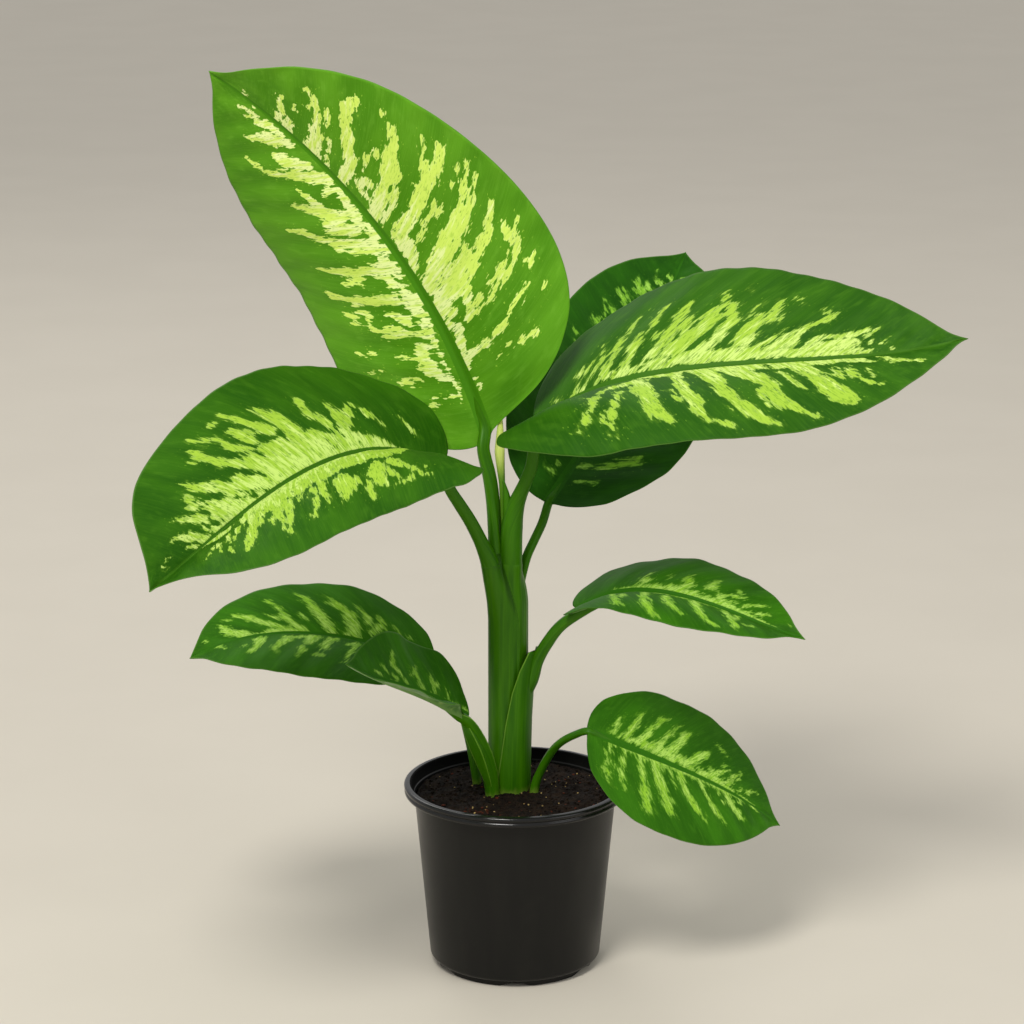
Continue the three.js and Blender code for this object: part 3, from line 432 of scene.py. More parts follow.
        .24, .38, 5, .215, .55, 6, .205, .7, 7, .2, .88, 5), (.35, .25, 4, .325, .4, 7, .315, .55, 7,
        .33, .7, 3), (.49, .15, 6, .455, .4, 9, .44, .55, 6, .435, .72, 6, .46, .83, 6), (.63, .12, 6,
        .605, .35, 7, .59, .55, 6, .585, .7, 7, .565, .8, 4), (.68, .2, 4, .65, .38, 4, .62, .5, 4),
        (.65, .62, 3, .7, .6, 3), (.16, .03, 4, .3, .06, 6, .45, .07, 7, .6, .05, 5),
    ),
    ("low", 0): (
        (.12, .1, 3, .2, .12, 6, .3, .14, 9, .4, .12, 9, .47, .1, 6, .56, .1, 8, .62, .12, 8, .7, .08, 4),
        (.08, .38, 1, .088, .12, 1.5), (.123, .55, 2, .133, .4, 3.5, .14, .25, 5, .145, .13, 6),
        (.205, .62, 4, .2, .48, 4, .208, .3, 5, .21, .15, 9), (.27, .62, 2, .275, .4, 3.5, .28, .25, 6),
        (.325, .55, 7, .34, .4, 7, .34, .2, 10), (.46, .52, 3, .46, .4, 9, .45, .25, 9, .44, .12, 9),
        (.595, .48, 1.5, .585, .38, 3, .575, .25, 6, .57, .15, 9), (.545, .28, 4, .56, .2, 5),
        (.565, .5, 1.5, .565, .46, 1.5), (.64, .6, 2.5, .635, .45, 4, .645, .3, 5, .655, .15, 5),
        (.66, .5, 1.5, .66, .3, 2.5, .665, .18, 3), (.755, .55, 2, .75, .42, 4, .755, .28, 3),
        (.77, .68, 2, .77, .6, 2), (.72, .2, 3, .715, .3, 1.5), (.74, .08, 3, .82, .04, 5), (.46, .7, 1,
        .52, .68, 1),
    ),
    ("low", 1): (
        (.09, .05, 1.5, .2, .05, 3, .3, .05, 5, .42, .05, 4, .52, .05, 3, .62, .06, 4, .7, .06, 4,
        .76, .08, 4), (.095, .08, 1.5, .078, .28, 1.5, .065, .48, 1.5, .058, .68, 1.2), (.155, .07, 4,
        .13, .24, 3, .112, .42, 3.5, .1, .6, 1.5), (.23, .08, 5, .215, .28, 4, .195, .48, 5, .18, .6, 7,
        .165, .75, 6), (.305, .05, 8, .29, .25, 10, .28, .48, 10, .27, .65, 9), (.425, .07, 7,
        .415, .2, 6, .41, .35, 6, .42, .52, 8, .445, .67, 3), (.37, .1, 3, .36, .3, 2), (.53, .05, 5,
        .525, .2, 5, .535, .4, 4.5, .53, .53, 6, .56, .68, 2.5), (.665, .08, 8, .665, .3, 9, .675, .45, 9,
        .685, .57, 6, .7, .62, 3), (.61, .33, 2, .615, .36, 2), (.62, .06, 3, .61, .2, 2), (.745, .08, 4,
        .735, .2, 3), (.82, .08, 5, .84, .22, 3),
    ),
}
SLITS = {
    ("crown", 0): (
        (.16, .15, 3.5, .175, .12, 3), (.27, .17, 3, .3, .17, 2.5), (.345, .17, 3, .36, .16, 3),
        (.385, .12, 2, .41, .14, 1.5), (.495, .075, 1.5, .525, .085, 1.5), (.58, .2, 4, .6, .22, 4),
        (.6, .3, 1.5, .62, .29, 1.5), (.81, .22, 4, .815, .28, 3), (.635, .2, 2, .65, .15, 2),
        (.75, .05, 4, .76, .2, 3),
    ),
    ("crown", 1): (
        (.245, .42, 1.2, .245, .58, 1.2), (.31, .5, 3, .335, .49, 2.5), (.335, .36, 2, .34, .44, 2.5),
        (.405, .22, 3, .41, .35, 2.5), (.44, .3, 1.5, .445, .45, 2), (.53, .32, 3.5, .532, .35, 3),
        (.49, .05, 3, .5, .3, 5), (.66, .1, 3, .67, .3, 5), (.7, .06, 2, .705, .3, 4),
    ),
    ("right", 0): (
        (.213, .35, 4, .225, .15, 6), (.17, .17, 4, .175, .14, 4), (.265, .4, 1.5, .275, .33, 3),
        (.295, .17, 1, .308, .14, 2.5), (.305, .6, 2, .315, .57, 3), (.335, .5, 5, .34, .35, 6,
        .343, .22, 3.5), (.36, .4, 2, .355, .3, 2.5), (.395, .37, 2, .41, .3, 3.5, .425, .23, 2),
        (.405, .66, 2, .418, .6, 2), (.465, .45, 5, .48, .4, 6, .5, .35, 3), (.48, .36, 3, .478, .3, 2),
        (.435, .22, 1, .452, .19, 2.5), (.51, .42, 2, .52, .3, 2), (.25, .095, 2.5, .255, .09, 2),
        (.58, .38, 6, .585, .22, 8), (.713, .4, 3, .718, .2, 3),
    ),
    ("right", 1): (
        (.365, .25, 5, .355, .4, 9, .345, .62, 9), (.275, .2, 3, .28, .35, 4), (.64, .15, 2, .63, .3, 4,
        .645, .38, 3), (.67, .18, 3, .672, .35, 5), (.487, .55, 2, .492, .6, 3), (.54, .1, 3,
        .535, .2, 2.5), (.42, .5, 5, .43, .42, 6),
    ),
    ("left", 0): (
        (.31, .55, 3, .33, .45, 5), (.46, .57, 3, .475, .5, 8, .485, .45, 5), (.605, .5, 3, .615, .42, 3),
        (.67, .4, 4, .665, .28, 5),
    ),
    ("left", 1): (
        (.545, .17, 1.5, .565, .28, 6, .59, .42, 6, .615, .48, 4), (.575, .03, 2, .595, .1, 2,
        .63, .2, 2), (.605, .06, 1, .65, .18, 1.5), (.73, .1, 5, .75, .16, 6, .77, .24, 3), (.66, .28, 3,
        .675, .4, 6, .69, .5, 5), (.28, .15, 1.5, .31, .27, 4, .35, .36, 3), (.415, .27, 1,
        .425, .38, 1.5), (.335, .1, 1, .34, .2, 1.5), (.495, .32, 2.5, .51, .42, 4), (.46, .52, 3,
        .465, .7, 4), (.7, .33, 3, .72, .36, 3),
    ),
    ("side", 0): (
        (.37, .3, 1, .385, .27, 2), (.43, .35, 3, .44, .3, 2), (.5, .3, 4, .53, .25, 5), (.5, .18, 3,
        .51, .14, 3), (.6, .37, 4, .59, .3, 3), (.72, .38, 2, .73, .33, 2),
    ),
    ("low", 0): (
        (.16, .3, 4, .155, .4, 4), (.23, .3, 2.5, .232, .25, 2), (.6, .35, 4, .605, .25, 3),
        (.48, .15, 1.5, .5, .1, 1.5), (.67, .25, 4, .68, .2, 4),
    ),
}


def linear(red, green, blue):
    """A screen colour from 0 to 255 as the linear colour that shaders use."""
    values = [v / 255 for v in (red, green, blue)]
    return tuple(v / 12.92 if v <= 0.04045 else ((v + 0.055) / 1.055) ** 2.4 for v in values) + (1.0,)


class Shader:
    """A material whose nodes are made by short calls that return sockets."""

    def __init__(self, name):
        self.material = bpy.data.materials.new(name)
        self.material.use_nodes = True
        self.tree = self.material.node_tree
        self.surface = self.tree.nodes["Principled BSDF"]

    def put(self, target, value):
        """Links a socket to an input, or sets a constant on it."""
        if isinstance(value, bpy.types.NodeSocket):
            self.tree.links.new(value, target)
        else:
            target.default_value = value

    def node(self, kind, inputs=(), output=0, **settings):
        made = self.tree.nodes.new(kind)
        for key, value in settings.items():
            setattr(made, key, value)
        for key, value in dict(inputs).items():
            self.put(made.inputs[key], value)
        return made.outputs[output]

    def connect(self, **sockets):
        for key, value in sockets.items():
            self.put(self.surface.inputs[key.replace("_", " ")], value)

    def attribute(self, name, output="Fac"):
        return self.node("ShaderNodeAttribute", output=output, attribute_name=name)

    def position(self):
        return self.node("ShaderNodeTexCoord", output="Object")

    def noise(self, vector, scale, detail=2.0):
        place = self.node("ShaderNodeVectorMath", {0: vector, 1: scale}, operation="MULTIPLY")
        return self.node("ShaderNodeTexNoise", {"Vector": place, "Scale": 1.0, "Detail": detail})

    def math(self, operation, first, second):
        return self.node("ShaderNodeMath", {0: first, 1: second}, operation=operation)

    def add(self, first, *others):
        for other in others:
            first = self.math("ADD", first, other)
        return first

    def times(self, first, second):
        return self.math("MULTIPLY", first, second)

    def centred(self, value, amount):
        """Noise about zero, with its swing scaled by the amount."""
        return self.times(self.math("SUBTRACT", value, 0.5), amount)

    def ramp(self, value, low, high):
        """A smooth step from 0 at low to 1 at high."""
        inputs = {"Value": value, "From Min": low, "From Max": high}
        return self.node("ShaderNodeMapRange", inputs, interpolation_type="SMOOTHSTEP")

    def part(self, value, low, high, amount):
        """A smooth step from 0 at low to the amount at high."""
        return self.times(self.ramp(value, low, high), amount)

    def mix(self, factor, first, second):
        return self.node("ShaderNodeMix", {0: factor, 6: first, 7: second}, output=2, data_type="RGBA")

    def bump(self, height, distance, strength):
        inputs = {"Height": height, "Distance": distance, "Strength": strength}
        return self.node("ShaderNodeBump", inputs)


def grain(across, along):
    """Noise scale for a feature size in millimetres across and along."""
    return (1 / across, 1 / along, 1.0)


def leaf_grain(tones, across, along):
    """Noise scale for the parts of the pattern that are finer on small leaves."""
    return grain(across * tones["grain"], along * tones["grain"])


def frayed_streak(shader, tones, vein, streak, broad, sliver):
    """How far a point lies inside the pale, with three sizes of noise that fray its border."""
    fine = shader.noise(vein, leaf_grain(tones, 1.1, 3.4))
    return shader.add(
        shader.math("MINIMUM", streak, STREAK_TOP),
        shader.centred(broad, tones["fray"] * 9.0),
        shader.centred(sliver, tones["fray"] * 10.0),
        shader.centred(fine, tones["fray"] * 4.0),
        tones["spread"],
    )


def blade_green(shader, tones, vein, streak, broad, lines, frayed):
    """The green between the streaks: soft patches, fine lines, deeper lateral vein grooves that are partly
    painted shade, and darker and half pale borders.
    """
    wide = shader.noise(vein, grain(26, 60))
    speck = shader.noise(vein, leaf_grain(tones, 1.4, 3.2), detail=1.0)
    specks = shader.part(speck, 0.69, 0.73, shader.ramp(streak, -10.0, -3.0))
    green = shader.mix(shader.ramp(wide, 0.35, 0.65), tones["green"], tones["deep"])
    layers = (
        (shader.part(broad, 0.5, 0.75, 0.3), "light"),
        # partly painted shade: deeper green in the grooves of the sunken lateral veins, over the veins' own
        # darker tone
        (shader.part(shader.attribute("lateral"), 0.82, 1.0, 0.3), "deep"),
        (shader.part(lines, 0.42, 0.7, 0.16), "light"),
        (shader.part(frayed, -3.4, -0.8, 0.3), "deep"),
        (shader.part(frayed, -2.2, -0.1, tones["halo"]), "half"),
        (shader.times(specks, 0.8), "half"),
    )
    for mask, tone in layers:
        green = shader.mix(mask, green, tones[tone])
    return green


def blade_pale(shader, tones, vein, frayed):
    """The pale of the streaks: whiter near the midrib, mottled, with a thin bright border."""
    tint = shader.noise(vein, leaf_grain(tones, 3, 22))
    mottled = shader.noise(vein, leaf_grain(tones, 1.2, 5), detail=3.0)
    whiter = shader.add(shader.ramp(shader.attribute("rib"), 46.0, 4.0), shader.centred(tint, 4.6))
    border = shader.part(frayed, 0.1, 0.4, shader.ramp(frayed, 1.3, 0.6))
    pale = shader.mix(shader.ramp(whiter, 0.3, 1.1), tones["pale"], tones["cream"])
    pale = shader.mix(shader.ramp(frayed, tones["depth"], 0.0), pale, tones["half"])
    pale = shader.mix(shader.part(mottled, 0.52, 0.66, tones["mottle"]), pale, tones["half"])
    return shader.mix(shader.times(border, 0.35), pale, tones["cream"])


def upper_material(name, tones):
    """A blade's upper face: pale streaks with feathery ends on green, a plain midrib, fine veins."""
    shader = Shader(name)
    vein = shader.attribute("vein", "Vector")
    streak = shader.attribute("streak")
    broad = shader.noise(vein, leaf_grain(tones, 5.5, 14))
    sliver = shader.noise(vein, leaf_grain(tones, 2.6, 9.5))
    lines = shader.noise(vein, grain(0.8, 26), detail=1.0)
    dark = shader.noise(vein, leaf_grain(tones, 1.5, 6), detail=1.0)
    frayed = frayed_streak(shader, tones, vein, streak, broad, sliver)
    green = blade_green(shader, tones, vein, streak, broad, lines, frayed)
    pale = blade_pale(shader, tones, vein, frayed)
    colour = shader.mix(shader.ramp(frayed, -tones["soft"], tones["soft"]), green, pale)
    dark_specks = shader.part(dark, 0.64, 0.68, shader.ramp(streak, 7.0, 1.0))
    colour = shader.mix(shader.times(dark_specks, 0.8), colour, green)
    band = shader.add(shader.attribute("band"), shader.centred(sliver, 0.8))
    colour = shader.mix(shader.ramp(band, -0.3, 0.3), colour, tones["midrib"])
    colour = shader.mix(shader.ramp(shader.attribute("edge"), 0.9, 0.4), colour, tones["margin"])
    cells = shader.noise(vein, grain(4, 8))
    height = shader.add(shader.times(lines, 0.35), shader.times(cells, 0.9))
    shader.connect(
        Base_Color=colour, Normal=shader.bump(height, 0.00035, 0.5), Specular_IOR_Level=tones["gloss"],
        Roughness=shader.add(shader.times(broad, 0.14), tones["roughness"]),
    )
    return shader.material


def under_material(name, tones):
    """A blade's underside: paler and duller, the streaks showing through, the midrib raised and pale."""
    shader = Shader(name)
    vein = shader.attribute("vein", "Vector")
    broad = shader.noise(vein, grain(6, 18))
    lines = shader.noise(vein, grain(0.9, 24), detail=1.0)
    frayed = shader.add(shader.attribute("streak"), shader.centred(broad, 8.0))
    colour = shader.mix(shader.ramp(broad, 0.35, 0.7), tones["under"], tones["under_light"])
    colour = shader.mix(shader.part(frayed, -1.5, 1.5, 0.6), colour, tones["under_pale"])
    colour = shader.mix(shader.part(lines, 0.45, 0.7, 0.25), colour, tones["under"])
    colour = shader.mix(shader.ramp(shader.attribute("rib"), 4.2, 2.2), colour, tones["under_light"])
    shader.connect(
        Base_Color=colour, Normal=shader.bump(shader.add(lines, broad), 0.0003, 0.5),
        Roughness=shader.add(shader.times(broad, 0.15), 0.45),
    )
    return shader.material


UNDER_COLOURS = dict(under=(78, 124, 56), under_light=(106, 148, 74), under_pale=(156, 188, 102))
COMMON_PATTERN = dict(
    roughness=0.4, gloss=0.13, fray=1.0, grain=1.0, soft=0.3, mottle=0.6, spread=0.3, halo=0.0, depth=0.8,
)


def blade_tones(colours, **changes):
    """One kind of blade: its colours as a screen shows them, and where its pattern is its own."""
    tones = {key: linear(*colour) for key, colour in {**UNDER_COLOURS, **colours}.items()}
    return {**tones, **COMMON_PATTERN, **changes}


TONES = {
    # partly painted light: the crown's own lighter green, raised further for the light that shines through
    # it
    "bright": blade_tones(
        dict(
            green=(92, 154, 26), deep=(76, 138, 16), light=(116, 176, 50), pale=(214, 242, 106),
            cream=(240, 254, 170), half=(160, 206, 66), midrib=(70, 132, 14), margin=(92, 148, 36),
        ),
        mottle=0.45, spread=0.6,
    ),
    "dark": blade_tones(
        dict(
            green=(49, 99, 10), deep=(35, 83, 6), light=(73, 124, 24), pale=(158, 195, 62),
            cream=(197, 223, 119), half=(108, 152, 39), midrib=(60, 108, 20), margin=(72, 112, 40),
        ),
        spread=0.5, halo=0.25, depth=2.0, mottle=0.7, soft=0.35, roughness=0.46, gloss=0.075,
    ),
    "small": blade_tones(
        dict(
            green=(50, 107, 7), deep=(37, 88, 2), light=(68, 125, 22), pale=(138, 187, 50),
            cream=(168, 208, 92), half=(84, 138, 26), midrib=(46, 102, 8), margin=(70, 116, 34),
        ),
        fray=0.85, grain=0.6, soft=0.8, spread=0.5, halo=0.4, depth=3.0, mottle=0.8, roughness=0.46,
        gloss=0.07,
    ),
    # painted shade: the back leaf's greens, darkened for the right leaf's shadow over it
    "shaded": blade_tones(
        dict(
            green=(34, 86, 6), deep=(24, 70, 4), light=(50, 104, 16), pale=(126, 180, 48),
            cream=(150, 198, 78), half=(76, 128, 28), midrib=(40, 94, 10), margin=(60, 104, 30),
        ),
        fray=0.9, soft=0.8, halo=0.35, depth=2.6, mottle=0.75, roughness=0.46, gloss=0.07,
    ),
}


def stalk_material(name, green, deep, light, edge_colour, fresh=None):
    """Petioles and sheaths: smooth glossy green with faint long lines, paler along thin edges and foot,
    with painted shade beside the cane's sheath margin.
    """
    shader = Shader(name)
    skin = shader.attribute("skin", "Vector")
    edge = shader.attribute("edge")
    lines = shader.noise(skin, grain(1.6, 90))
    wide = shader.noise(skin, grain(9, 70))
    blotch = shader.noise(skin, grain(4, 14), detail=3.0)
    colour = shader.mix(shader.ramp(wide, 0.35, 0.65), linear(*green), linear(*deep))
    colour = shader.mix(shader.part(lines, 0.45, 0.7, 0.3), colour, linear(*light))
    colour = shader.mix(shader.part(blotch, 0.55, 0.8, 0.2), colour, linear(*deep))
    colour = shader.mix(shader.ramp(edge, 0.55, 0.95), colour, linear(*edge_colour))
    # painted shade: negative edge values darken the cane beside its outer sheath's margin
    colour = shader.mix(shader.part(edge, -0.2, -0.9, 0.6), colour, linear(*PAINTED_MARGIN_SHADE_COLOUR))
    if fresh:
        height = shader.node("ShaderNodeSeparateXYZ", {0: skin}, output="Y")
        colour = shader.mix(shader.ramp(height, 52.0, 76.0), linear(*fresh), colour)
    foot = shader.add(shader.attribute("foot"), shader.centred(blotch, 0.5))
    colour = shader.mix(shader.part(foot, 0.35, 0.85, 0.75), colour, linear(*FOOT_COLOUR))
    shader.connect(
        Base_Color=colour, Normal=shader.bump(lines, 0.0002, 0.4), Specular_IOR_Level=0.16,
        Roughness=shader.add(shader.times(blotch, 0.12), 0.34),
    )
    return shader.material


def face_outwards(mesh, weld):
    """Turns all faces outwards, after joining the points that lie closer than the weld distance."""
    shape = bmesh.new()
    shape.from_mesh(mesh)
    if weld:
        bmesh.ops.remove_doubles(shape, verts=shape.verts, dist=weld)
    bmesh.ops.recalc_face_normals(shape, faces=shape.faces)
    shape.to_mesh(mesh)
    shape.free()
    mesh.shade_smooth()


def add_mesh(name, points, faces, materials, values=None, face_materials=None, vectors=None, weld=0.0):
    """A smooth shaded mesh from points in millimetres, with named point attributes."""
    mesh = bpy.data.meshes.new(name)
    mesh.from_pydata((np.asarray(points) * MM).tolist(), [], [tuple(map(int, f)) for f in faces])
    for material in materials:
        mesh.materials.append(material)
    if face_materials is not None:
        mesh.polygons.foreach_set("material_index", np.asarray(face_materials, dtype=np.int32))
    for key, data in (values or {}).items():
        layer = mesh.attributes.new(key, "FLOAT", "POINT")
        layer.data.foreach_set("value", np.asarray(data, dtype=np.float32).ravel())
    for key, data in (vectors or {}).items():
        layer = mesh.attributes.new(key, "FLOAT_VECTOR", "POINT")
        layer.data.foreach_set("vector", np.asarray(data, dtype=np.float32).ravel())
    face_outwards(mesh, weld * MM)
    made = bpy.data.objects.new(name, mesh)
    bpy.context.scene.collection.objects.link(made)
    return made


def cubic(points, t):
    """Points at the shares t of a curve with four control points."""
    t = np.asarray(t)[:, None]
    s = 1 - t
    p = np.asarray(points, float)
    return s ** 3 * p[0] + 3 * s * s * t * p[1] + 3 * s * t * t * p[2] + t ** 3 * p[3]


def half_outline(leaf, half):
    """Half of a blade's flat outline, from the stalk round the basal lobe to the tip."""
    body = leaf["length"] - DRIP_TIP
    width = leaf["half_width"][half]
    lobe = leaf["lobe"][half]
    widest = leaf["widest"][half] * body
    rest = body - widest
    reach = TIP_REACH * rest
    angle = math.radians(leaf["tip_angle"])
    handles = ((-LOBE_SWING * lobe, LOBE_RISE * width), (SHOULDER * widest - lobe / 2, width))
    if leaf.get("clasp", PLAIN)["half"] == half:
        handles = leaf["clasp"]["handles"]
    basal = [(0, 0), *handles, (widest, width)]
    outer = [
        (widest, width), (widest + leaf["fullness"] * rest, width),
        (body - reach * math.cos(angle), reach * math.sin(angle)), (body, 0),
    ]
    first = cubic(basal, np.arange(CURVE_STEPS) / CURVE_STEPS)
    second = cubic(outer, np.arange(CURVE_STEPS + 1) / CURVE_STEPS)
    end = np.maximum(0, (second[:, 0] - body) / DRIP_RUN + 1)
    second[:, 0] += DRIP_TIP * end * end
    return np.vstack([first, second])


def along_outline(points, share):
    """Points at shares of an outline's length."""
    steps = np.hypot(*np.diff(points, axis=0).T)
    at = np.concatenate([[0], np.cumsum(steps)]) / steps.sum()
    return np.stack([np.interp(share, at, points[:, 0]), np.interp(share, at, points[:, 1])], -1)


def along_midrib(values, f):
    """A value that runs evenly between two numbers, or on a parabola through three."""
    if len(values) == 2:
        return values[0] + (values[1] - values[0]) * f
    return values[0] * (1 - f) * (1 - 2 * f) + values[1] * 4 * f * (1 - f) + values[2] * f * (2 * f - 1)


def midrib(leaf):
    """The midrib's points and its forward, side and normal directions, in even steps."""
    f = np.arange(CURVE_STEPS + 1) / CURVE_STEPS
    heading = np.radians(along_midrib(leaf["heading"], f))
    rise = np.radians(along_midrib(leaf["rise"], f))
    roll = np.radians(along_midrib(leaf["roll"], f))[:, None]
    forward = np.stack([np.cos(rise) * np.cos(heading), np.cos(rise) * np.sin(heading), np.sin(rise)], -1)
    level = np.stack([-np.sin(heading), np.cos(heading), 0 * heading], -1)
    above = np.cross(forward, level)
    point = np.zeros((CURVE_STEPS + 1, 3))
    point[1:] = np.cumsum((forward[1:] + forward[:-1]) * leaf["length"] / CURVE_STEPS / 2, axis=0)
    depth, run = leaf.get("sag", (0, 1))
    point[:, 2] -= depth * np.maximum(0, 1 - f * leaf["length"] / run) ** 2
    return {
        "length": leaf["length"],
        "point": point + np.array(leaf["base"], float),
        "forward": forward,
        "side": level * np.cos(roll) + above * np.sin(roll),
        "normal": above * np.cos(roll) - level * np.sin(roll),
    }


def frame_at(rib, x):
    """Point, side and normal at distance x along the midrib; outside it the midrib goes straight on."""
    inside = np.clip(x, 0, rib["length"])
    at = np.linspace(0, rib["length"], CURVE_STEPS + 1)
    pick = lambda key: np.stack([np.interp(inside, at, rib[key][:, k]) for k in range(3)], -1)
    return pick("point") + pick("forward") * (x - inside)[..., None], pick("side"), pick("normal")


def vein_grid(leaf, half, u, v):
    """Flat x and y of the points v along the veins that start at u."""
    outline = half_outline(leaf, half)
    rows, _ = np.meshgrid(u, v, indexing="ij")
    v = v[None, :, None]
    start = np.stack([rows * leaf["length"], 0 * rows], -1)
    share = BASAL_SHARE + (1 - BASAL_SHARE) * u ** (1 / leaf["spread"][half])
    end = along_outline(outline, share)[:, None, :] + 0 * start
    middle = (start + end) / 2
    middle[..., 0] -= leaf["bend"][half] * end[..., 1]
    vein = (1 - v) ** 2 * start + 2 * v * (1 - v) * middle + v * v * end
    basal = along_outline(outline, BASAL_SHARE * v[0, :, 0])[None, :, :]
    near = (np.maximum(0, 1 - rows / BASAL_REACH) ** 2)[..., None]
    return vein * (1 - near) + basal * near


def lifted(leaf, rib, half, flat):
    """The upper face's points and normals over flat points."""
    x, y = flat[..., 0], flat[..., 1]
    out = 1 if half == 0 else -1
    share = y / leaf["half_width"][half]
    clasp = leaf["clasp"] if leaf.get("clasp", PLAIN)["half"] == half else PLAIN
    clasped = np.maximum(0, 1 - np.maximum(0, x) / clasp["run"]) ** 2
    fold = np.radians(leaf["fold"][half] + clasp["fold"] * clasped)
    bend = np.radians(leaf["curl"][half] + clasp["curl"] * clasped) * share / 2
    chord = y * np.sinc(bend / math.pi)
    height, count, phase = leaf["wave"]
    wave = height * share ** 2 * np.sin(2 * math.pi * count * x / leaf["length"] + phase[half])
    point, side, normal = frame_at(rib, x)
    top = point + side * (out * chord * np.cos(fold + bend))[..., None]
    top += normal * (chord * np.sin(fold + bend) + wave)[..., None]
    tilt = (fold + 2 * bend)[..., None]
    return top, normal * np.cos(tilt) - side * out * np.sin(tilt)


def distance_into(runs, a, b, length, width):
    """How far points (a, b) lie inside the union of tapered runs, in millimetres."""
    inside = np.full(a.shape, STREAK_FLOOR)
    for run in runs:
        knots = list(zip(run[::3], run[1::3], run[2::3]))
        for (u0, v0, w0), (u1, v1, w1) in zip(knots, knots[1:]):
            ax, ay = u0 * length, v0 * width
            dx, dy = u1 * length - ax, v1 * width - ay
            t = np.clip(((a - ax) * dx + (b - ay) * dy) / (dx * dx + dy * dy + 1e-6), 0, 1)
            away = np.hypot(a - ax - t * dx, b - ay - t * dy)
            inside = np.maximum(inside, (w0 + (w1 - w0) * t) / 2 - away)
    return inside


def hidden_runs(seed, first, last, gap):
    """Regular streaks for the parts of a blade that other leaves hide in the photograph."""
    pick = random.Random(seed)
    runs = []
    u = first
    while u < last:
        reach = pick.uniform(0.45, 0.7) * min(1.0, 4 * (1.02 - u))
        drift = pick.uniform(-0.01, 0.02)
        runs.append((u, 0.03, 7, u + drift / 2, reach / 2, 5.5, u + drift, reach, 2))
        u += gap * pick.uniform(0.8, 1.2)
    return tuple(runs)


def pale_depth(name, half, a, b):
    """How far points lie inside the pale of a half blade, after the dark slits are cut out of it."""
    size = LEAVES[name]["length"], LEAVES[name]["half_width"][half]
    runs = STREAKS.get((name, half), ())
    if name == "back":
        runs = runs + hidden_runs("back%d" % half, first=0.2, last=0.9, gap=0.045)
    slits = SLITS.get((name, half), ())
    return np.minimum(distance_into(runs, a, b, *size), -distance_into(slits, a, b, *size))


def half_blade(name, half, u, v, shift):
    """The points of both faces of a half blade, and the values that its materials read."""
    leaf = LEAVES[name]
    length, end_radius = leaf["length"], leaf["radii"][-1]
    flat = vein_grid(leaf, half, u, v)
    top, normal = lifted(leaf, midrib(leaf), half, flat)
    grid_u, grid_v = np.meshgrid(u, v, indexing="ij")
    x, y = flat[..., 0], flat[..., 1]
    along = np.clip(x / length, 0, 1)
    phase = np.cos(math.pi * RIB_ROWS[leaf["large"]] * grid_u / LAST_ROW)
    relief = RIB_RELIEF[leaf["large"]] * np.sin(math.pi * grid_v) * phase
    ripple = RIPPLE * grid_v ** 5 * np.sin(x * 0.21 + shift) * np.sin(x * 0.083 + 2 * shift)
    end = end_radius * (1 - along) ** KEEL_FADE
    groove = GROOVE_DEPTH * end * np.exp(-((y / (GROOVE_WIDTH * end + 0.4)) ** 2))
    top = top + normal * (relief + ripple - groove)[..., None]
    keel_width = KEEL_WIDTH * (1 - KEEL_NARROWING * along)
    keel = KEEL_DEPTH * end * np.exp(-((y / keel_width) ** 2))
    thickness = THICKNESS - EDGE_THINNING * grid_v ** 4 + keel
    a, b = grid_u * length, grid_v * leaf["half_width"][half]
    local_width = np.linalg.norm(flat[:, -1] - flat[:, 0], axis=-1)[:, None]
    return {
        "top": top,
        "bottom": top - normal * thickness[..., None],
        "streak": pale_depth(name, half, a, b),
        "rib": y,
        "edge": (1 - grid_v) * local_width * 0.8,
        "band": end_radius * (0.24 + 0.9 * (1 - along) ** 1.3) - y,
        "lateral": 0.5 - 0.5 * phase,
        "vein": np.stack([a, b, np.full(a.shape, 40.0 * half + shift)], -1),
    }


def sheet_faces(rows, width):
    """Faces of rows of points that close in one tip, and the numbers of the points on their border."""
    tip = rows * width
    last_row = tip - width
    faces = []
    for start in range(0, last_row, width):
        faces += [(k, k + width, k + width + 1, k + 1) for k in range(start, start + width - 1)]
    faces += [(k, tip, k + 1) for k in range(last_row, tip - 1)]
    border = list(range(width - 1, 0, -1)) + list(range(0, tip, width)) + [tip]
    return faces, border + list(range(tip - 1, width - 1, -width))


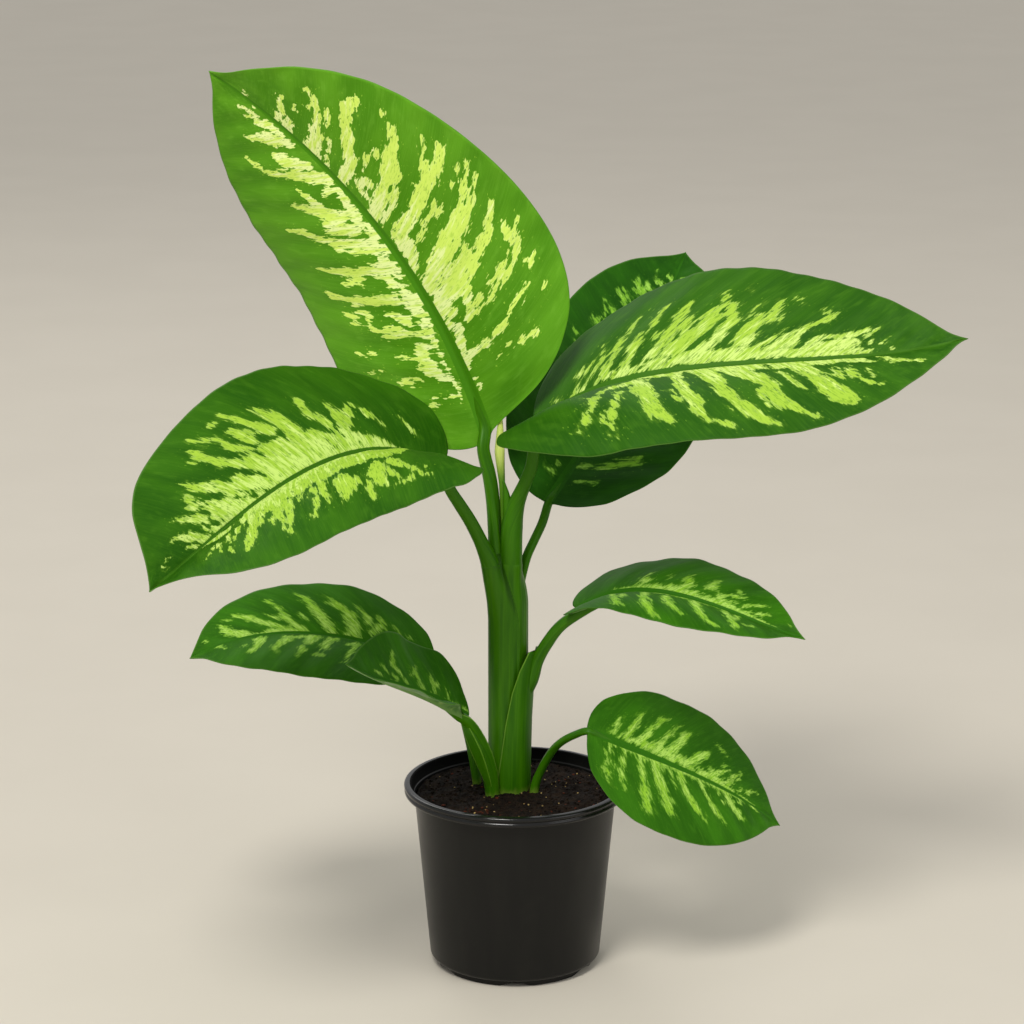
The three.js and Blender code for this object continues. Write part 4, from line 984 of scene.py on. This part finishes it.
def blade(name, tone):
    """A leaf blade with both faces on a fine grid of veins, replacing the frame's plainer one."""
    leaf = LEAVES[name]
    u = np.linspace(0, 1, BLADE_ROWS[leaf["large"]] + 1)[:-1] ** 0.97
    u = u * (FINE_LAST_ROW / u[-1])
    v = np.linspace(0, 1, BLADE_COLUMNS[leaf["large"]] + 1) ** 1.12
    shift = random.Random(name).uniform(0, 100)
    halves = [half_blade(name, half, u, v, shift) for half in (0, 1)]
    both = {key: np.concatenate([halves[1][key][:, :0:-1], halves[0][key]], axis=1) for key in halves[0]}
    rib = midrib(leaf)
    tip = frame_at(rib, np.array([leaf["length"] + TIP_SIZE]))[0][0]
    under_tip = tip - rib["normal"][-1] * TIP_SIZE
    points = np.concatenate([both["top"].reshape(-1, 3), [tip], both["bottom"].reshape(-1, 3), [under_tip]])
    sheet, border = sheet_faces(*both["top"].shape[:2])
    count = len(points) // 2
    rim = [(k, k + count, n + count, n) for k, n in zip(border, border[1:] + border[:1])]
    faces = sheet + [tuple(k + count for k in reversed(face)) for face in sheet] + rim
    face_materials = [0] * len(sheet) + [1] * len(sheet) + [0] * len(rim)
    tip_values = {"streak": STREAK_FLOOR, "rib": 0.0, "edge": 0.0, "band": 0.5, "lateral": 0.0}
    values = {key: np.tile(np.append(both[key], last), 2) for key, last in tip_values.items()}
    vein = np.concatenate([both["vein"].reshape(-1, 3), [(leaf["length"], 0, shift)]])
    materials = [upper_material(name + "_upper", TONES[tone]), under_material(name + "_under", TONES[tone])]
    made = add_mesh(
        name + "_blade", points, faces, materials, values, face_materials,
        {"vein": np.concatenate([vein, vein])},
    )
    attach(made, "root")
    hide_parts(name + "_leaf")
    return made


def smooth_path(points, count):
    """Evenly spaced points and tangents on a centripetal curve through the given points."""
    p = [np.array(q, float) for q in points]
    p = [2 * p[0] - p[1]] + p + [2 * p[-1] - p[-2]]
    fine = []
    for p0, p1, p2, p3 in zip(p, p[1:], p[2:], p[3:]):
        d = [max(1e-6, np.linalg.norm(b - a) ** 0.5) for a, b in ((p0, p1), (p1, p2), (p2, p3))]
        start = ((p1 - p0) / d[0] - (p2 - p0) / (d[0] + d[1]) + (p2 - p1) / d[1]) * d[1]
        end = ((p2 - p1) / d[1] - (p3 - p1) / (d[1] + d[2]) + (p3 - p2) / d[2]) * d[1]
        for t in np.arange(PATH_STEPS) / PATH_STEPS:
            at_ends = (2 * t ** 3 - 3 * t ** 2 + 1) * p1 + (3 * t ** 2 - 2 * t ** 3) * p2
            fine.append(at_ends + (t ** 3 - 2 * t ** 2 + t) * start + (t ** 3 - t ** 2) * end)
    fine = np.array(fine + [p[-2]])
    at = np.concatenate([[0], np.cumsum(np.linalg.norm(np.diff(fine, axis=0), axis=1))])
    share = np.linspace(0, 1, count)
    even = np.stack([np.interp(share * at[-1], at, fine[:, k]) for k in range(3)], -1)
    tangent = np.gradient(even, axis=0)
    tangent /= np.linalg.norm(tangent, axis=1)[:, None]
    knots = at[::PATH_STEPS] / at[-1]
    return even, tangent, share, knots, at[-1]


def band_faces(first, second, sides):
    """Faces between two rings of points that start at the given numbers."""
    turns = [(j, (j + 1) % sides) for j in range(sides)]
    return [(first + j, second + j, second + n, first + n) for j, n in turns]


def fan_faces(middle, ring, sides):
    """Faces between one point and a ring of points."""
    return [(middle, ring + j, ring + (j + 1) % sides) for j in range(sides)]


def loft(rings):
    """Points and faces of a closed skin over rings with the same number of points."""
    rows, sides = rings.shape[:2]
    last = (rows - 1) * sides
    points = np.concatenate([rings.reshape(-1, 3), [rings[0].mean(axis=0), rings[-1].mean(axis=0)]])
    faces = []
    for start in range(0, last, sides):
        faces += band_faces(start, start + sides, sides)
    faces += fan_faces(rows * sides, 0, sides) + fan_faces(rows * sides + 1, last, sides)
    return points, faces


def tube(path, radii, up_start, up_end, section, rows=60):
    """Rings round a smooth path. section(angle, share) scales the radius and tells how pale the edge is."""
    centre, tangent, share, knots, length = smooth_path(path, rows)
    radius = np.interp(share, knots, radii)
    angle = 2 * math.pi * np.arange(TUBE_SIDES) / TUBE_SIDES
    up = np.outer(1 - share, up_start) + np.outer(share, up_end)
    up -= tangent * (up * tangent).sum(axis=1)[:, None]
    up /= np.linalg.norm(up, axis=1)[:, None]
    side = np.cross(tangent, up)
    grid_share, grid_angle = np.meshgrid(share, angle, indexing="ij")
    scale, edge = section(grid_angle, grid_share)
    spread = radius[:, None] * scale
    rings = centre[:, None] + up[:, None] * (spread * np.cos(grid_angle))[..., None]
    rings += side[:, None] * (spread * np.sin(grid_angle))[..., None]
    around = np.minimum(grid_angle, 2 * math.pi - grid_angle) * radius[:, None]
    return rings, edge, np.stack([around, grid_share * length, 0 * around], -1)


def stalk_section(wing):
    """A round section with a channel towards angle 0 and a raised, paler edge on both its sides."""
    def section(angle, share):
        turned = np.minimum(angle, 2 * math.pi - angle)
        channel = CHANNEL_DEPTH * np.exp(-((turned / CHANNEL_WIDTH) ** 2))
        edge = np.exp(-((turned - EDGE_ANGLE) / 0.2) ** 2)
        fade = np.sin(math.pi * np.clip(share, 0, 1)) ** 0.6
        return 1 - channel + (0.05 + wing * fade) * edge, edge * (0.35 + 0.65 * min(1.0, 4 * wing))
    return section


class Skin:
    """Collects closed shells with their shader values, to become one piece."""

    def __init__(self):
        self.points, self.faces, self.edge, self.skin = [], [], [], []

    def add(self, rings, edge, skin):
        """Adds one shell; each value's first and last also serve the points that close its ends."""
        points, faces = loft(rings)
        start = len(self.points)
        self.points += list(points)
        self.faces += [tuple(k + start for k in face) for face in faces]
        for rows, target in ((edge.reshape(-1), self.edge), (skin.reshape(-1, 3), self.skin)):
            target += [*rows, rows[0], rows[-1]]

    def finish(self, name, material, node):
        """Makes the piece of all its shells, paler near the soil."""
        foot = np.clip(1 - (np.array(self.points)[:, 2] - SOIL_EDGE) / FOOT_FADE, 0, 1)
        values = {"edge": self.edge, "foot": foot}
        made = add_mesh(name, self.points, self.faces, [material], values, vectors={"skin": self.skin})
        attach(made, "root")
        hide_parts(node)
        return made


def stalk(name, material):
    """A petiole from its foot to the blade, whose midrib it runs under for a short way."""
    leaf = LEAVES[name]
    rib = midrib(leaf)
    inwards = np.append(np.array(CANE_AXIS) - leaf["stalk"][0][:2], 0)
    inwards /= np.linalg.norm(inwards)
    end_radius = leaf["radii"][-1]
    seats = []
    for x, depth in leaf.get("seats", SEATS):
        point, _, normal = frame_at(rib, np.array([x]))
        seats.append(point[0] - normal[0] * depth * end_radius)
    radii = [*leaf["radii"], *(end_radius * share for share in SEAT_TAPER)]
    section = stalk_section(leaf.get("stalk_edge", 0.0))
    piece = Skin()
    piece.add(*tube([*leaf["stalk"], *seats], radii, inwards, rib["normal"][0], section))
    if "wing" in leaf:
        up = leaf.get("wing_up", inwards)
        section = stalk_section(leaf.get("wing_edge", 0.0))
        piece.add(*tube(leaf["wing"], leaf["wing_radii"], up, up, section, rows=24))
    if name == "side":
        piece.add(*half_sheath())
    return piece.finish(name + "_petiole", material, name + "_stalk")


def half_sheath():
    """The crescent round the cane: thick in the middle, thin and pale at its two margins."""
    s = HALF_SHEATH
    heights = np.linspace(s["heights"][0], s["heights"][-1], s["rows"])
    half = np.radians(np.interp(heights, s["heights"], s["half_angles"]))
    lean = np.interp(heights, s["heights"], s["lean"])
    facing = math.radians(s["facing"])
    across = np.linspace(-1, 1, s["columns"] + 1)
    outer = s["inner_radius"] + s["edge"] + (s["thickness"] - s["edge"]) * (1 - across ** 2)
    inner = np.full_like(outer, s["inner_radius"] - 0.4)
    radius = np.concatenate([outer, inner])
    both = np.concatenate([across, across[::-1]])
    angle = facing + np.outer(half, both)
    x = CANE_AXIS[0] + radius * np.cos(angle) + lean[:, None] * math.cos(facing)
    y = CANE_AXIS[1] + radius * np.sin(angle) + lean[:, None] * math.sin(facing)
    z = heights[:, None] + 0 * x
    edge = np.clip((np.abs(both) - 0.9) / 0.1, 0, 1) ** 0.7 + 0 * x
    return np.stack([x, y, z], -1), edge, np.stack([angle * 17, z, 0 * x], -1)


def smooth_step(value, low, high):
    """A smooth rise from 0 at low to 1 at high."""
    t = np.clip((value - low) / (high - low), 0, 1)
    return t * t * (3 - 2 * t)


def bulge(leaf, z, angle):
    """How far a petiole's tube reaches from the cane's axis, at each height and turn."""
    centre, _, share, knots, _ = smooth_path(leaf["stalk"], 60)
    radius = np.interp(z, centre[:, 2], np.interp(share, knots, leaf["radii"])) + 0.3
    x = np.interp(z, centre[:, 2], centre[:, 0]) - CANE_AXIS[0]
    y = np.interp(z, centre[:, 2], centre[:, 1]) - CANE_AXIS[1]
    aside = y * np.cos(angle) - x * np.sin(angle)
    inside = radius ** 2 - aside ** 2
    return x * np.cos(angle) + y * np.sin(angle) + np.sign(inside) * np.sqrt(np.abs(inside))


def blended(first, second, reach):
    """The larger of two lengths, rounded where they cross."""
    share = np.clip(0.5 + 0.5 * (second - first) / reach, 0, 1)
    return first + (second - first) * share + reach * share * (1 - share)


def cane_margins(z, angle, share):
    """Where the outer sheath covers the cane, the lips of its two margins and the shade beside one."""
    wound = (np.maximum(0, share - MARGIN_START) / (1 - MARGIN_START)) ** MARGIN_BEND
    margin = np.radians(MARGIN_ANGLES[0] + (MARGIN_ANGLES[1] - MARGIN_ANGLES[0]) * wound)
    back = math.radians(BACK_MARGIN)
    covered = smooth_step(angle, margin - 0.03, margin + 0.03)
    covered *= 1 - smooth_step(angle, back - 0.03, back + 0.03)
    lip = np.exp(-((angle - margin - 0.05) / 0.045) ** 2) + np.exp(-((angle - back + 0.05) / 0.05) ** 2)
    # painted shade left of the outer sheath's margin, fading out down the cane
    shade = np.exp(-((np.minimum(0, angle - margin + 0.04)) / 0.3) ** 2) * (angle < margin)
    shade *= smooth_step(z, 262, 300) * (angle > -math.pi + 0.3)
    return covered, lip, shade


def cane_radius(z, angle, share, covered, lip):
    """The cane's radius: ridged, wider at its foot and where petioles leave it, narrow and domed above."""
    tapered = np.maximum(0, share - CANE_TAPER_START) / (1 - CANE_TAPER_START)
    ridges = 0.12 * np.sin(angle * 17 + z * 0.01) + 0.08 * np.sin(angle * 31 - z * 0.013)
    foot = 0.8 * np.clip((140 - z) / 20, 0, 1) ** 2
    radius = CANE_RADIUS * (1 - CANE_TAPER * tapered ** 2) + SHEATH_STEP * covered
    radius = radius + LIP_HEIGHT * lip + ridges + foot
    dome = np.clip((z - (CANE_TOP - CANE_DOME)) / CANE_DOME, 0, 1)
    radius = radius * np.sqrt(1 - 0.75 * dome ** 2) * (1 - CANE_NARROWING * smooth_step(z, 284, 330))
    fade = smooth_step(CANE_TOP - z, 2, 18)
    for leaf_name in ("left", "right"):
        wide = blended(radius, bulge(LEAVES[leaf_name], z, angle), BLEND)
        radius = radius + (wide - radius) * fade
    return radius


def cane(material):
    """The column of wrapped sheaths, with the outer sheath's margin winding down its front."""
    heights = np.linspace(CANE_FOOT, CANE_TOP, CANE_ROWS)
    angles = 2 * math.pi * np.arange(CANE_SIDES) / CANE_SIDES - math.pi
    z, angle = np.meshgrid(heights, angles, indexing="ij")
    share = (z - CANE_ROOT) / (CANE_TOP - CANE_ROOT)
    covered, lip, shade = cane_margins(z, angle, share)
    radius = cane_radius(z, angle, share, covered, lip)
    rings = np.stack([CANE_AXIS[0] + radius * np.cos(angle), CANE_AXIS[1] + radius * np.sin(angle), z], -1)
    piece = Skin()
    # the edge value holds the pale lips and, below zero, the painted shade beside the margin
    piece.add(rings, np.clip(lip, 0, 1) * 0.75 - shade, np.stack([angle * 15, z, covered * 30], -1))
    return piece.finish("cane_sheaths", material, "cane")


def rolled_section(angle, share):
    """A spiral: the radius grows round to the seam, whose edge is pale."""
    seam = np.mod(angle - 2.2 - 3.0 * share, 2 * math.pi) / (2 * math.pi)
    return 0.9 + 0.16 * seam, 0.8 * np.exp(-((1 - seam) / 0.06) ** 2)


def young_leaf(material):
    """The leaf that is still rolled: a slim spindle with the spiral seam of its outer edge."""
    up = (0, 1, 0)
    piece = Skin()
    piece.add(*tube(YOUNG_LEAF["path"], YOUNG_LEAF["radii"], up, up, rolled_section))
    return piece.finish("rolled_leaf", material, "young_leaf")


def wall_outside(z):
    """The pot's outer radius at a height below the rim."""
    return FOOT_RADIUS + (WALL_TOP_RADIUS - FOOT_RADIUS) * z / (POT_HEIGHT - RIM_HEIGHT)


def wall_inside(z):
    """The pot's inner radius at a height above the floor."""
    return wall_outside(z) - WALL


def soil_height(x, y):
    """The soil's height without its roughness: a low dome with soft lumps."""
    share = math.hypot(x, y) / WALL_TOP_RADIUS
    lumps = math.sin(0.17 * x + 1.1) * math.cos(0.15 * y) + math.sin(0.11 * x - 0.13 * y)
    return SOIL_EDGE + SOIL_DOME * (1 - share * share) + SOIL_LUMPS * lumps


def soil_surface(x, y):
    """The soil's height with its clods and crumbly roughness."""
    height = soil_height(x, y)
    for amount, layer, frequency in SOIL_ROUGHNESS:
        height += amount * noise.noise(Vector((x, y, layer)) * frequency)
    return height


def soil_material():
    """Dark potting soil; the tone attribute turns grains into red brown bark or pale grit."""
    shader = Shader("soil_mix")
    tone = shader.attribute("tone")
    place = shader.position()
    fine = shader.noise(place, (900, 900, 900), detail=4.0)
    clod = shader.noise(place, (160, 160, 160), detail=3.0)
    colour = shader.mix(shader.ramp(clod, 0.35, 0.7), linear(16, 10, 6), linear(34, 23, 14))
    colour = shader.mix(shader.part(fine, 0.55, 0.75, 0.4), colour, linear(58, 40, 26))
    colour = shader.mix(shader.ramp(tone, 0.2, 0.5), colour, linear(92, 40, 22))
    colour = shader.mix(shader.ramp(tone, 0.6, 0.9), colour, linear(176, 150, 96))
    normal = shader.bump(fine, 0.0012, 0.9)
    shader.connect(Base_Color=colour, Roughness=0.9, Normal=normal, Specular_IOR_Level=0.15)
    return shader.material


def circle(radius, sides):
    """Points of a level circle round the pot's axis, as x and y pairs."""
    turns = [2 * math.pi * j / sides for j in range(sides)]
    return [(radius * math.cos(turn), radius * math.sin(turn)) for turn in turns]


def soil_body(top_radius):
    """The filling without its grains: a rough top, a side down the wall and a flat bottom."""
    points = [(0, 0, soil_surface(0, 0))]
    starts = []
    for i in range(1, SOIL_RINGS + 1):
        starts.append(len(points))
        points += [(x, y, soil_surface(x, y)) for x, y in circle(top_radius * i / SOIL_RINGS, SOIL_SIDES)]
    bend = BASE + CORNER + SOIL_LIFT
    levels = [(z, wall_inside(z) - SOIL_GAP) for z in (SOIL_EDGE - 8, bend)]
    levels.append((FLOOR + SOIL_LIFT, RING_RADIUS))
    for z, radius in levels:
        starts.append(len(points))
        points += [(x, y, z) for x, y in circle(radius, SOIL_SIDES)]
    faces = fan_faces(0, starts[0], SOIL_SIDES)
    for first, second in zip(starts, starts[1:]):
        faces += band_faces(first, second, SOIL_SIDES)
    faces += fan_faces(len(points), starts[-1], SOIL_SIDES)
    return points + [(0, 0, FLOOR + SOIL_LIFT)], faces


def ball():
    """Points and faces of a small round body, which every grain squashes in its own way."""
    shape = bmesh.new()
    bmesh.ops.create_icosphere(shape, subdivisions=1, radius=1.0)
    points = [tuple(vertex.co) for vertex in shape.verts]
    faces = [tuple(vertex.index for vertex in face.verts) for face in shape.faces]
    shape.free()
    return points, faces


def crumb(kind, x, y, shape, pick):
    """The points of one squashed, knobbly grain that lies on the soil."""
    size = pick.uniform(*kind["sizes"]) * (0.6 if pick.random() < 0.5 else 1.0)
    wide, deep = pick.uniform(0.7, 1.4), pick.uniform(0.6, 1.1)
    high = kind["flatness"] * pick.uniform(0.7, 1.1)
    turn = pick.uniform(0, math.pi)
    z = soil_surface(x, y) + size * 0.15
    points = []
    for px, py, pz in shape:
        wobble = size * pick.uniform(0.75, 1.2)
        qx, qy = px * wide * wobble, py * deep * wobble
        points.append((
            x + qx * math.cos(turn) - qy * math.sin(turn),
            y + qx * math.sin(turn) + qy * math.cos(turn),
            z + pz * high * wobble,
        ))
    return points


def soil():
    """The filling: a domed rough surface with crumbs, bark chips and a few pale grains on it."""
    top_radius = wall_inside(SOIL_EDGE - 2) - SOIL_GAP
    points, faces = soil_body(top_radius)
    tone = [0.0] * len(points)
    shape, shape_faces = ball()
    pick = random.Random(11)
    for kind in CRUMBS:
        middle = CHIP_PATCH if "patch" in kind else (0, 0)
        reach = kind.get("patch", top_radius - 2)
        for _ in range(kind["count"]):
            r = reach * math.sqrt(pick.random())
            a = pick.uniform(0, 2 * math.pi)
            faces += [tuple(k + len(points) for k in face) for face in shape_faces]
            points += crumb(kind, middle[0] + r * math.cos(a), middle[1] + r * math.sin(a), shape, pick)
        tone += [kind["tone"]] * (len(points) - len(tone))
    made = add_mesh("soil_filling", points, faces, [soil_material()], {"tone": tone})
    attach(made, "root")
    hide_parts("soil")
    return made


def pot_material(name, dark, light, roughness, specular):
    """Black plastic with faint upright streaks and a little dust."""
    shader = Shader(name)
    place = shader.position()
    fine = shader.noise(place, (1500, 1500, 1500))
    streaky = shader.noise(place, (60, 60, 9), detail=3.0)
    dust = shader.noise(place, (45, 45, 45), detail=5.0)
    colour = shader.mix(shader.ramp(streaky, 0.35, 0.7), linear(*dark), linear(*light))
    colour = shader.mix(shader.part(dust, 0.55, 0.85, 0.2), colour, linear(38, 36, 32))
    rough = shader.add(shader.times(dust, 0.14), roughness)
    normal = shader.bump(fine, 0.0001, 0.4)
    shader.connect(Base_Color=colour, Roughness=rough, Normal=normal, Specular_IOR_Level=specular)
    return shader.material


def arc(middle, radius, start, end, steps):
    """Points on an arc of the pot's section, between two angles in degrees."""
    turns = [math.radians(start + (end - start) * i / steps) for i in range(steps + 1)]
    return [(middle[0] + radius * math.cos(turn), middle[1] + radius * math.sin(turn)) for turn in turns]


def pot_section():
    """The pot's section as pairs of radius and height: the outside, the rim's beads and the inside."""
    under = POT_HEIGHT - RIM_HEIGHT
    bend = BASE + CORNER
    outside = [(r, 0.0) for r in np.linspace(0, PAD_RADIUS, 10)]
    outside += [(r, 0.0) for r in np.linspace(PAD_RADIUS, RING_RADIUS - 1.2, 8)[1:]]
    outside += arc((RING_RADIUS - 1.0, 1.0), 1.0, -80, 0, 5)
    outside += [(RING_RADIUS, 2.0), (RING_RADIUS, 3.2), (RING_RADIUS, BASE - 0.2)]
    outside += arc((wall_outside(bend) - CORNER, bend), CORNER, -90, -3, 10)
    outside += [(wall_outside(z), z) for z in np.linspace(bend + 0.6, under, 34)]
    beads = [(RIM_RADIUS - 3.4, under + 0.1)]
    beads += arc((RIM_RADIUS - 2.1, under + 2.0), 1.9, -70, 60, 7)
    beads += arc((RIM_RADIUS - 1.9, under + 6.1), 2.0, -65, 88, 9)
    inside = arc((MOUTH_RADIUS + 1.3, POT_HEIGHT - 1.3), 1.3, 92, 180, 5)
    inside += [(MOUTH_RADIUS - 0.6, under + 3.0), (wall_inside(under) + 1.5, under - 1)]
    inside += [(wall_inside(z), z) for z in np.linspace(under - 4, bend, 12)]
    inside += [(RING_RADIUS + 1, FLOOR)] + [(r, FLOOR) for r in np.linspace(58, 0, 10)]
    return outside, beads, inside


def arch_lift(r, z, turn):
    """How far the arches of the foot raise a point of the pot."""
    top = 0.75 * BASE
    if r <= PAD_RADIUS + 1 or z >= top:
        return 0.0
    spacing = 2 * math.pi / ARCHES
    turned = turn + math.pi / 2
    offset = abs(turned - spacing * round(turned / spacing)) / math.radians(ARCH_HALF_ANGLE)
    fade = min(1.0, (r - PAD_RADIUS) / 8) * (1 - max(0.0, z) / top) ** 0.5
    return ARCH_HEIGHT * math.cos(math.pi * offset / 2) ** 2 * fade if offset < 1 else 0.0


def drill_drains(made):
    """Cuts the drain holes through the pot's floor."""
    for i in range(ARCHES):
        turn = math.radians(360 * i / ARCHES - 90)
        bpy.ops.mesh.primitive_cylinder_add(
            vertices=32, radius=DRAIN_RADIUS * MM, depth=30 * MM,
            location=(DRAIN_CIRCLE * math.cos(turn) * MM, DRAIN_CIRCLE * math.sin(turn) * MM, 0),
        )
        drill = bpy.context.object
        hole = made.modifiers.new("drain", "BOOLEAN")
        hole.operation = "DIFFERENCE"
        hole.solver = "EXACT"
        hole.object = drill
        drilled = bpy.data.meshes.new_from_object(made.evaluated_get(bpy.context.evaluated_depsgraph_get()))
        made.modifiers.clear()
        made.data = drilled
        bpy.data.objects.remove(drill)


def pot():
    """The nursery pot: thin wall, a rim of two rolled beads, a foot with arches and drain holes."""
    parts = pot_section()
    points, faces, looks = [], [], []
    for r, z in sum(parts, []):
        for j in range(POT_SIDES):
            turn = 2 * math.pi * j / POT_SIDES
            points.append((r * math.cos(turn), r * math.sin(turn), z + arch_lift(r, z, turn)))
    for look, part in enumerate(parts):
        looks += [look] * (len(part) * POT_SIDES)
    for start in range(0, len(points) - POT_SIDES, POT_SIDES):
        faces += band_faces(start, start + POT_SIDES, POT_SIDES)
    materials = [
        pot_material("pot_wall_satin", (16, 16, 15), (20, 20, 18), 0.26, 0.22),
        pot_material("pot_rim_gloss", (12, 12, 12), (16, 16, 15), 0.07, 0.34),
        # painted shade: the inside, the same plastic as the wall, is coloured darker, and it is also duller
        pot_material("pot_inside_dull_painted_shade", (8, 8, 7), (11, 11, 9), 0.6, 0.06),
    ]
    made = add_mesh(
        "nursery_pot", points, faces, materials, face_materials=looks[:len(faces)], weld=AXIS_WELD,
    )
    drill_drains(made)
    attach(made, "root")
    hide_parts("pot")
    return made


def studio_floor():
    """A wide pale floor with a faint mottle."""
    bpy.ops.mesh.primitive_plane_add(size=40)
    ground = bpy.context.object
    ground.name = "studio_floor"
    shader = Shader("floor_pale")
    mottle = shader.noise(shader.position(), (6, 6, 6), detail=4.0)
    colour = shader.mix(shader.ramp(mottle, 0.3, 0.7), linear(200, 193, 180), linear(202, 195, 182))
    shader.connect(Base_Color=colour, Roughness=0.85)
    ground.data.materials.append(shader.material)


def studio_light():
    """Even air light and three soft lamps that look at the plant's middle."""
    world = bpy.context.scene.world or bpy.data.worlds.new("studio_air")
    bpy.context.scene.world = world
    world.use_nodes = True
    air = world.node_tree.nodes["Background"]
    air.inputs["Color"].default_value = (0.98, 0.98, 0.97, 1.0)
    air.inputs["Strength"].default_value = 0.66
    lamps = (
        ("key_light", (-0.7, -2.0, 3.0), 1.1, 80, (1.0, 0.98, 0.93)),
        ("fill_light", (2.4, -1.8, 1.6), 1.8, 12, (1.0, 0.99, 0.96)),
        ("back_light", (-0.8, 2.2, 2.2), 1.4, 12, (1.0, 0.99, 0.95)),
    )
    for name, place, size, power, tint in lamps:
        data = bpy.data.lights.new(name, "AREA")
        data.shape = "DISK"
        data.size = size
        data.energy = power
        data.color = tint
        lamp = bpy.data.objects.new(name, data)
        lamp.location = place
        lamp.rotation_euler = (Vector(PLANT_MIDDLE) - Vector(place)).to_track_quat("-Z", "Y").to_euler()
        bpy.context.scene.collection.objects.link(lamp)


def studio_camera():
    """The camera at the photograph's place and angle."""
    view = bpy.data.cameras.new("view")
    view.sensor_width = 36.0
    view.lens = FOCAL_PIXELS / PHOTO_PIXELS * view.sensor_width
    view.clip_start = 0.1
    view.clip_end = 60
    camera = bpy.data.objects.new("view", view)
    camera.location = CAMERA_PLACE
    camera.rotation_euler = (math.radians(90 - CAMERA_TILT), 0, 0)
    bpy.context.scene.collection.objects.link(camera)
    bpy.context.scene.camera = camera


BLADE_LOOKS = {
    "crown": ("bright", "bright_blade"),
    "right": ("dark", "dark_blade"),
    "left": ("dark", "dark_blade"),
    "back": ("shaded", "shaded_blade"),
    "lower_left": ("small", "dark_blade"),
    "small_left": ("small", "dark_blade"),
    "side": ("small", "dark_blade"),
    "low": ("small", "dark_blade"),
}

stalk_skin = stalk_material("petiole_skin", (57, 112, 0), (42, 94, 0), (76, 132, 10), (114, 160, 50))
cane_skin = stalk_material("cane_surface", (58, 112, 0), (43, 94, 0), (76, 130, 8), (114, 160, 46))
young_skin = stalk_material(
    "rolled_skin", (190, 206, 104), (168, 192, 76), (214, 224, 140), (226, 234, 164), fresh=(86, 134, 30),
)

for leaf_name, (tone, slot_name) in BLADE_LOOKS.items():
    blade(leaf_name, tone)
    stalk(leaf_name, stalk_skin)
cane(cane_skin)
young_leaf(young_skin)
soil()
pot()
studio_floor()
studio_light()
studio_camera()
bpy.context.scene.view_settings.view_transform = "Standard"
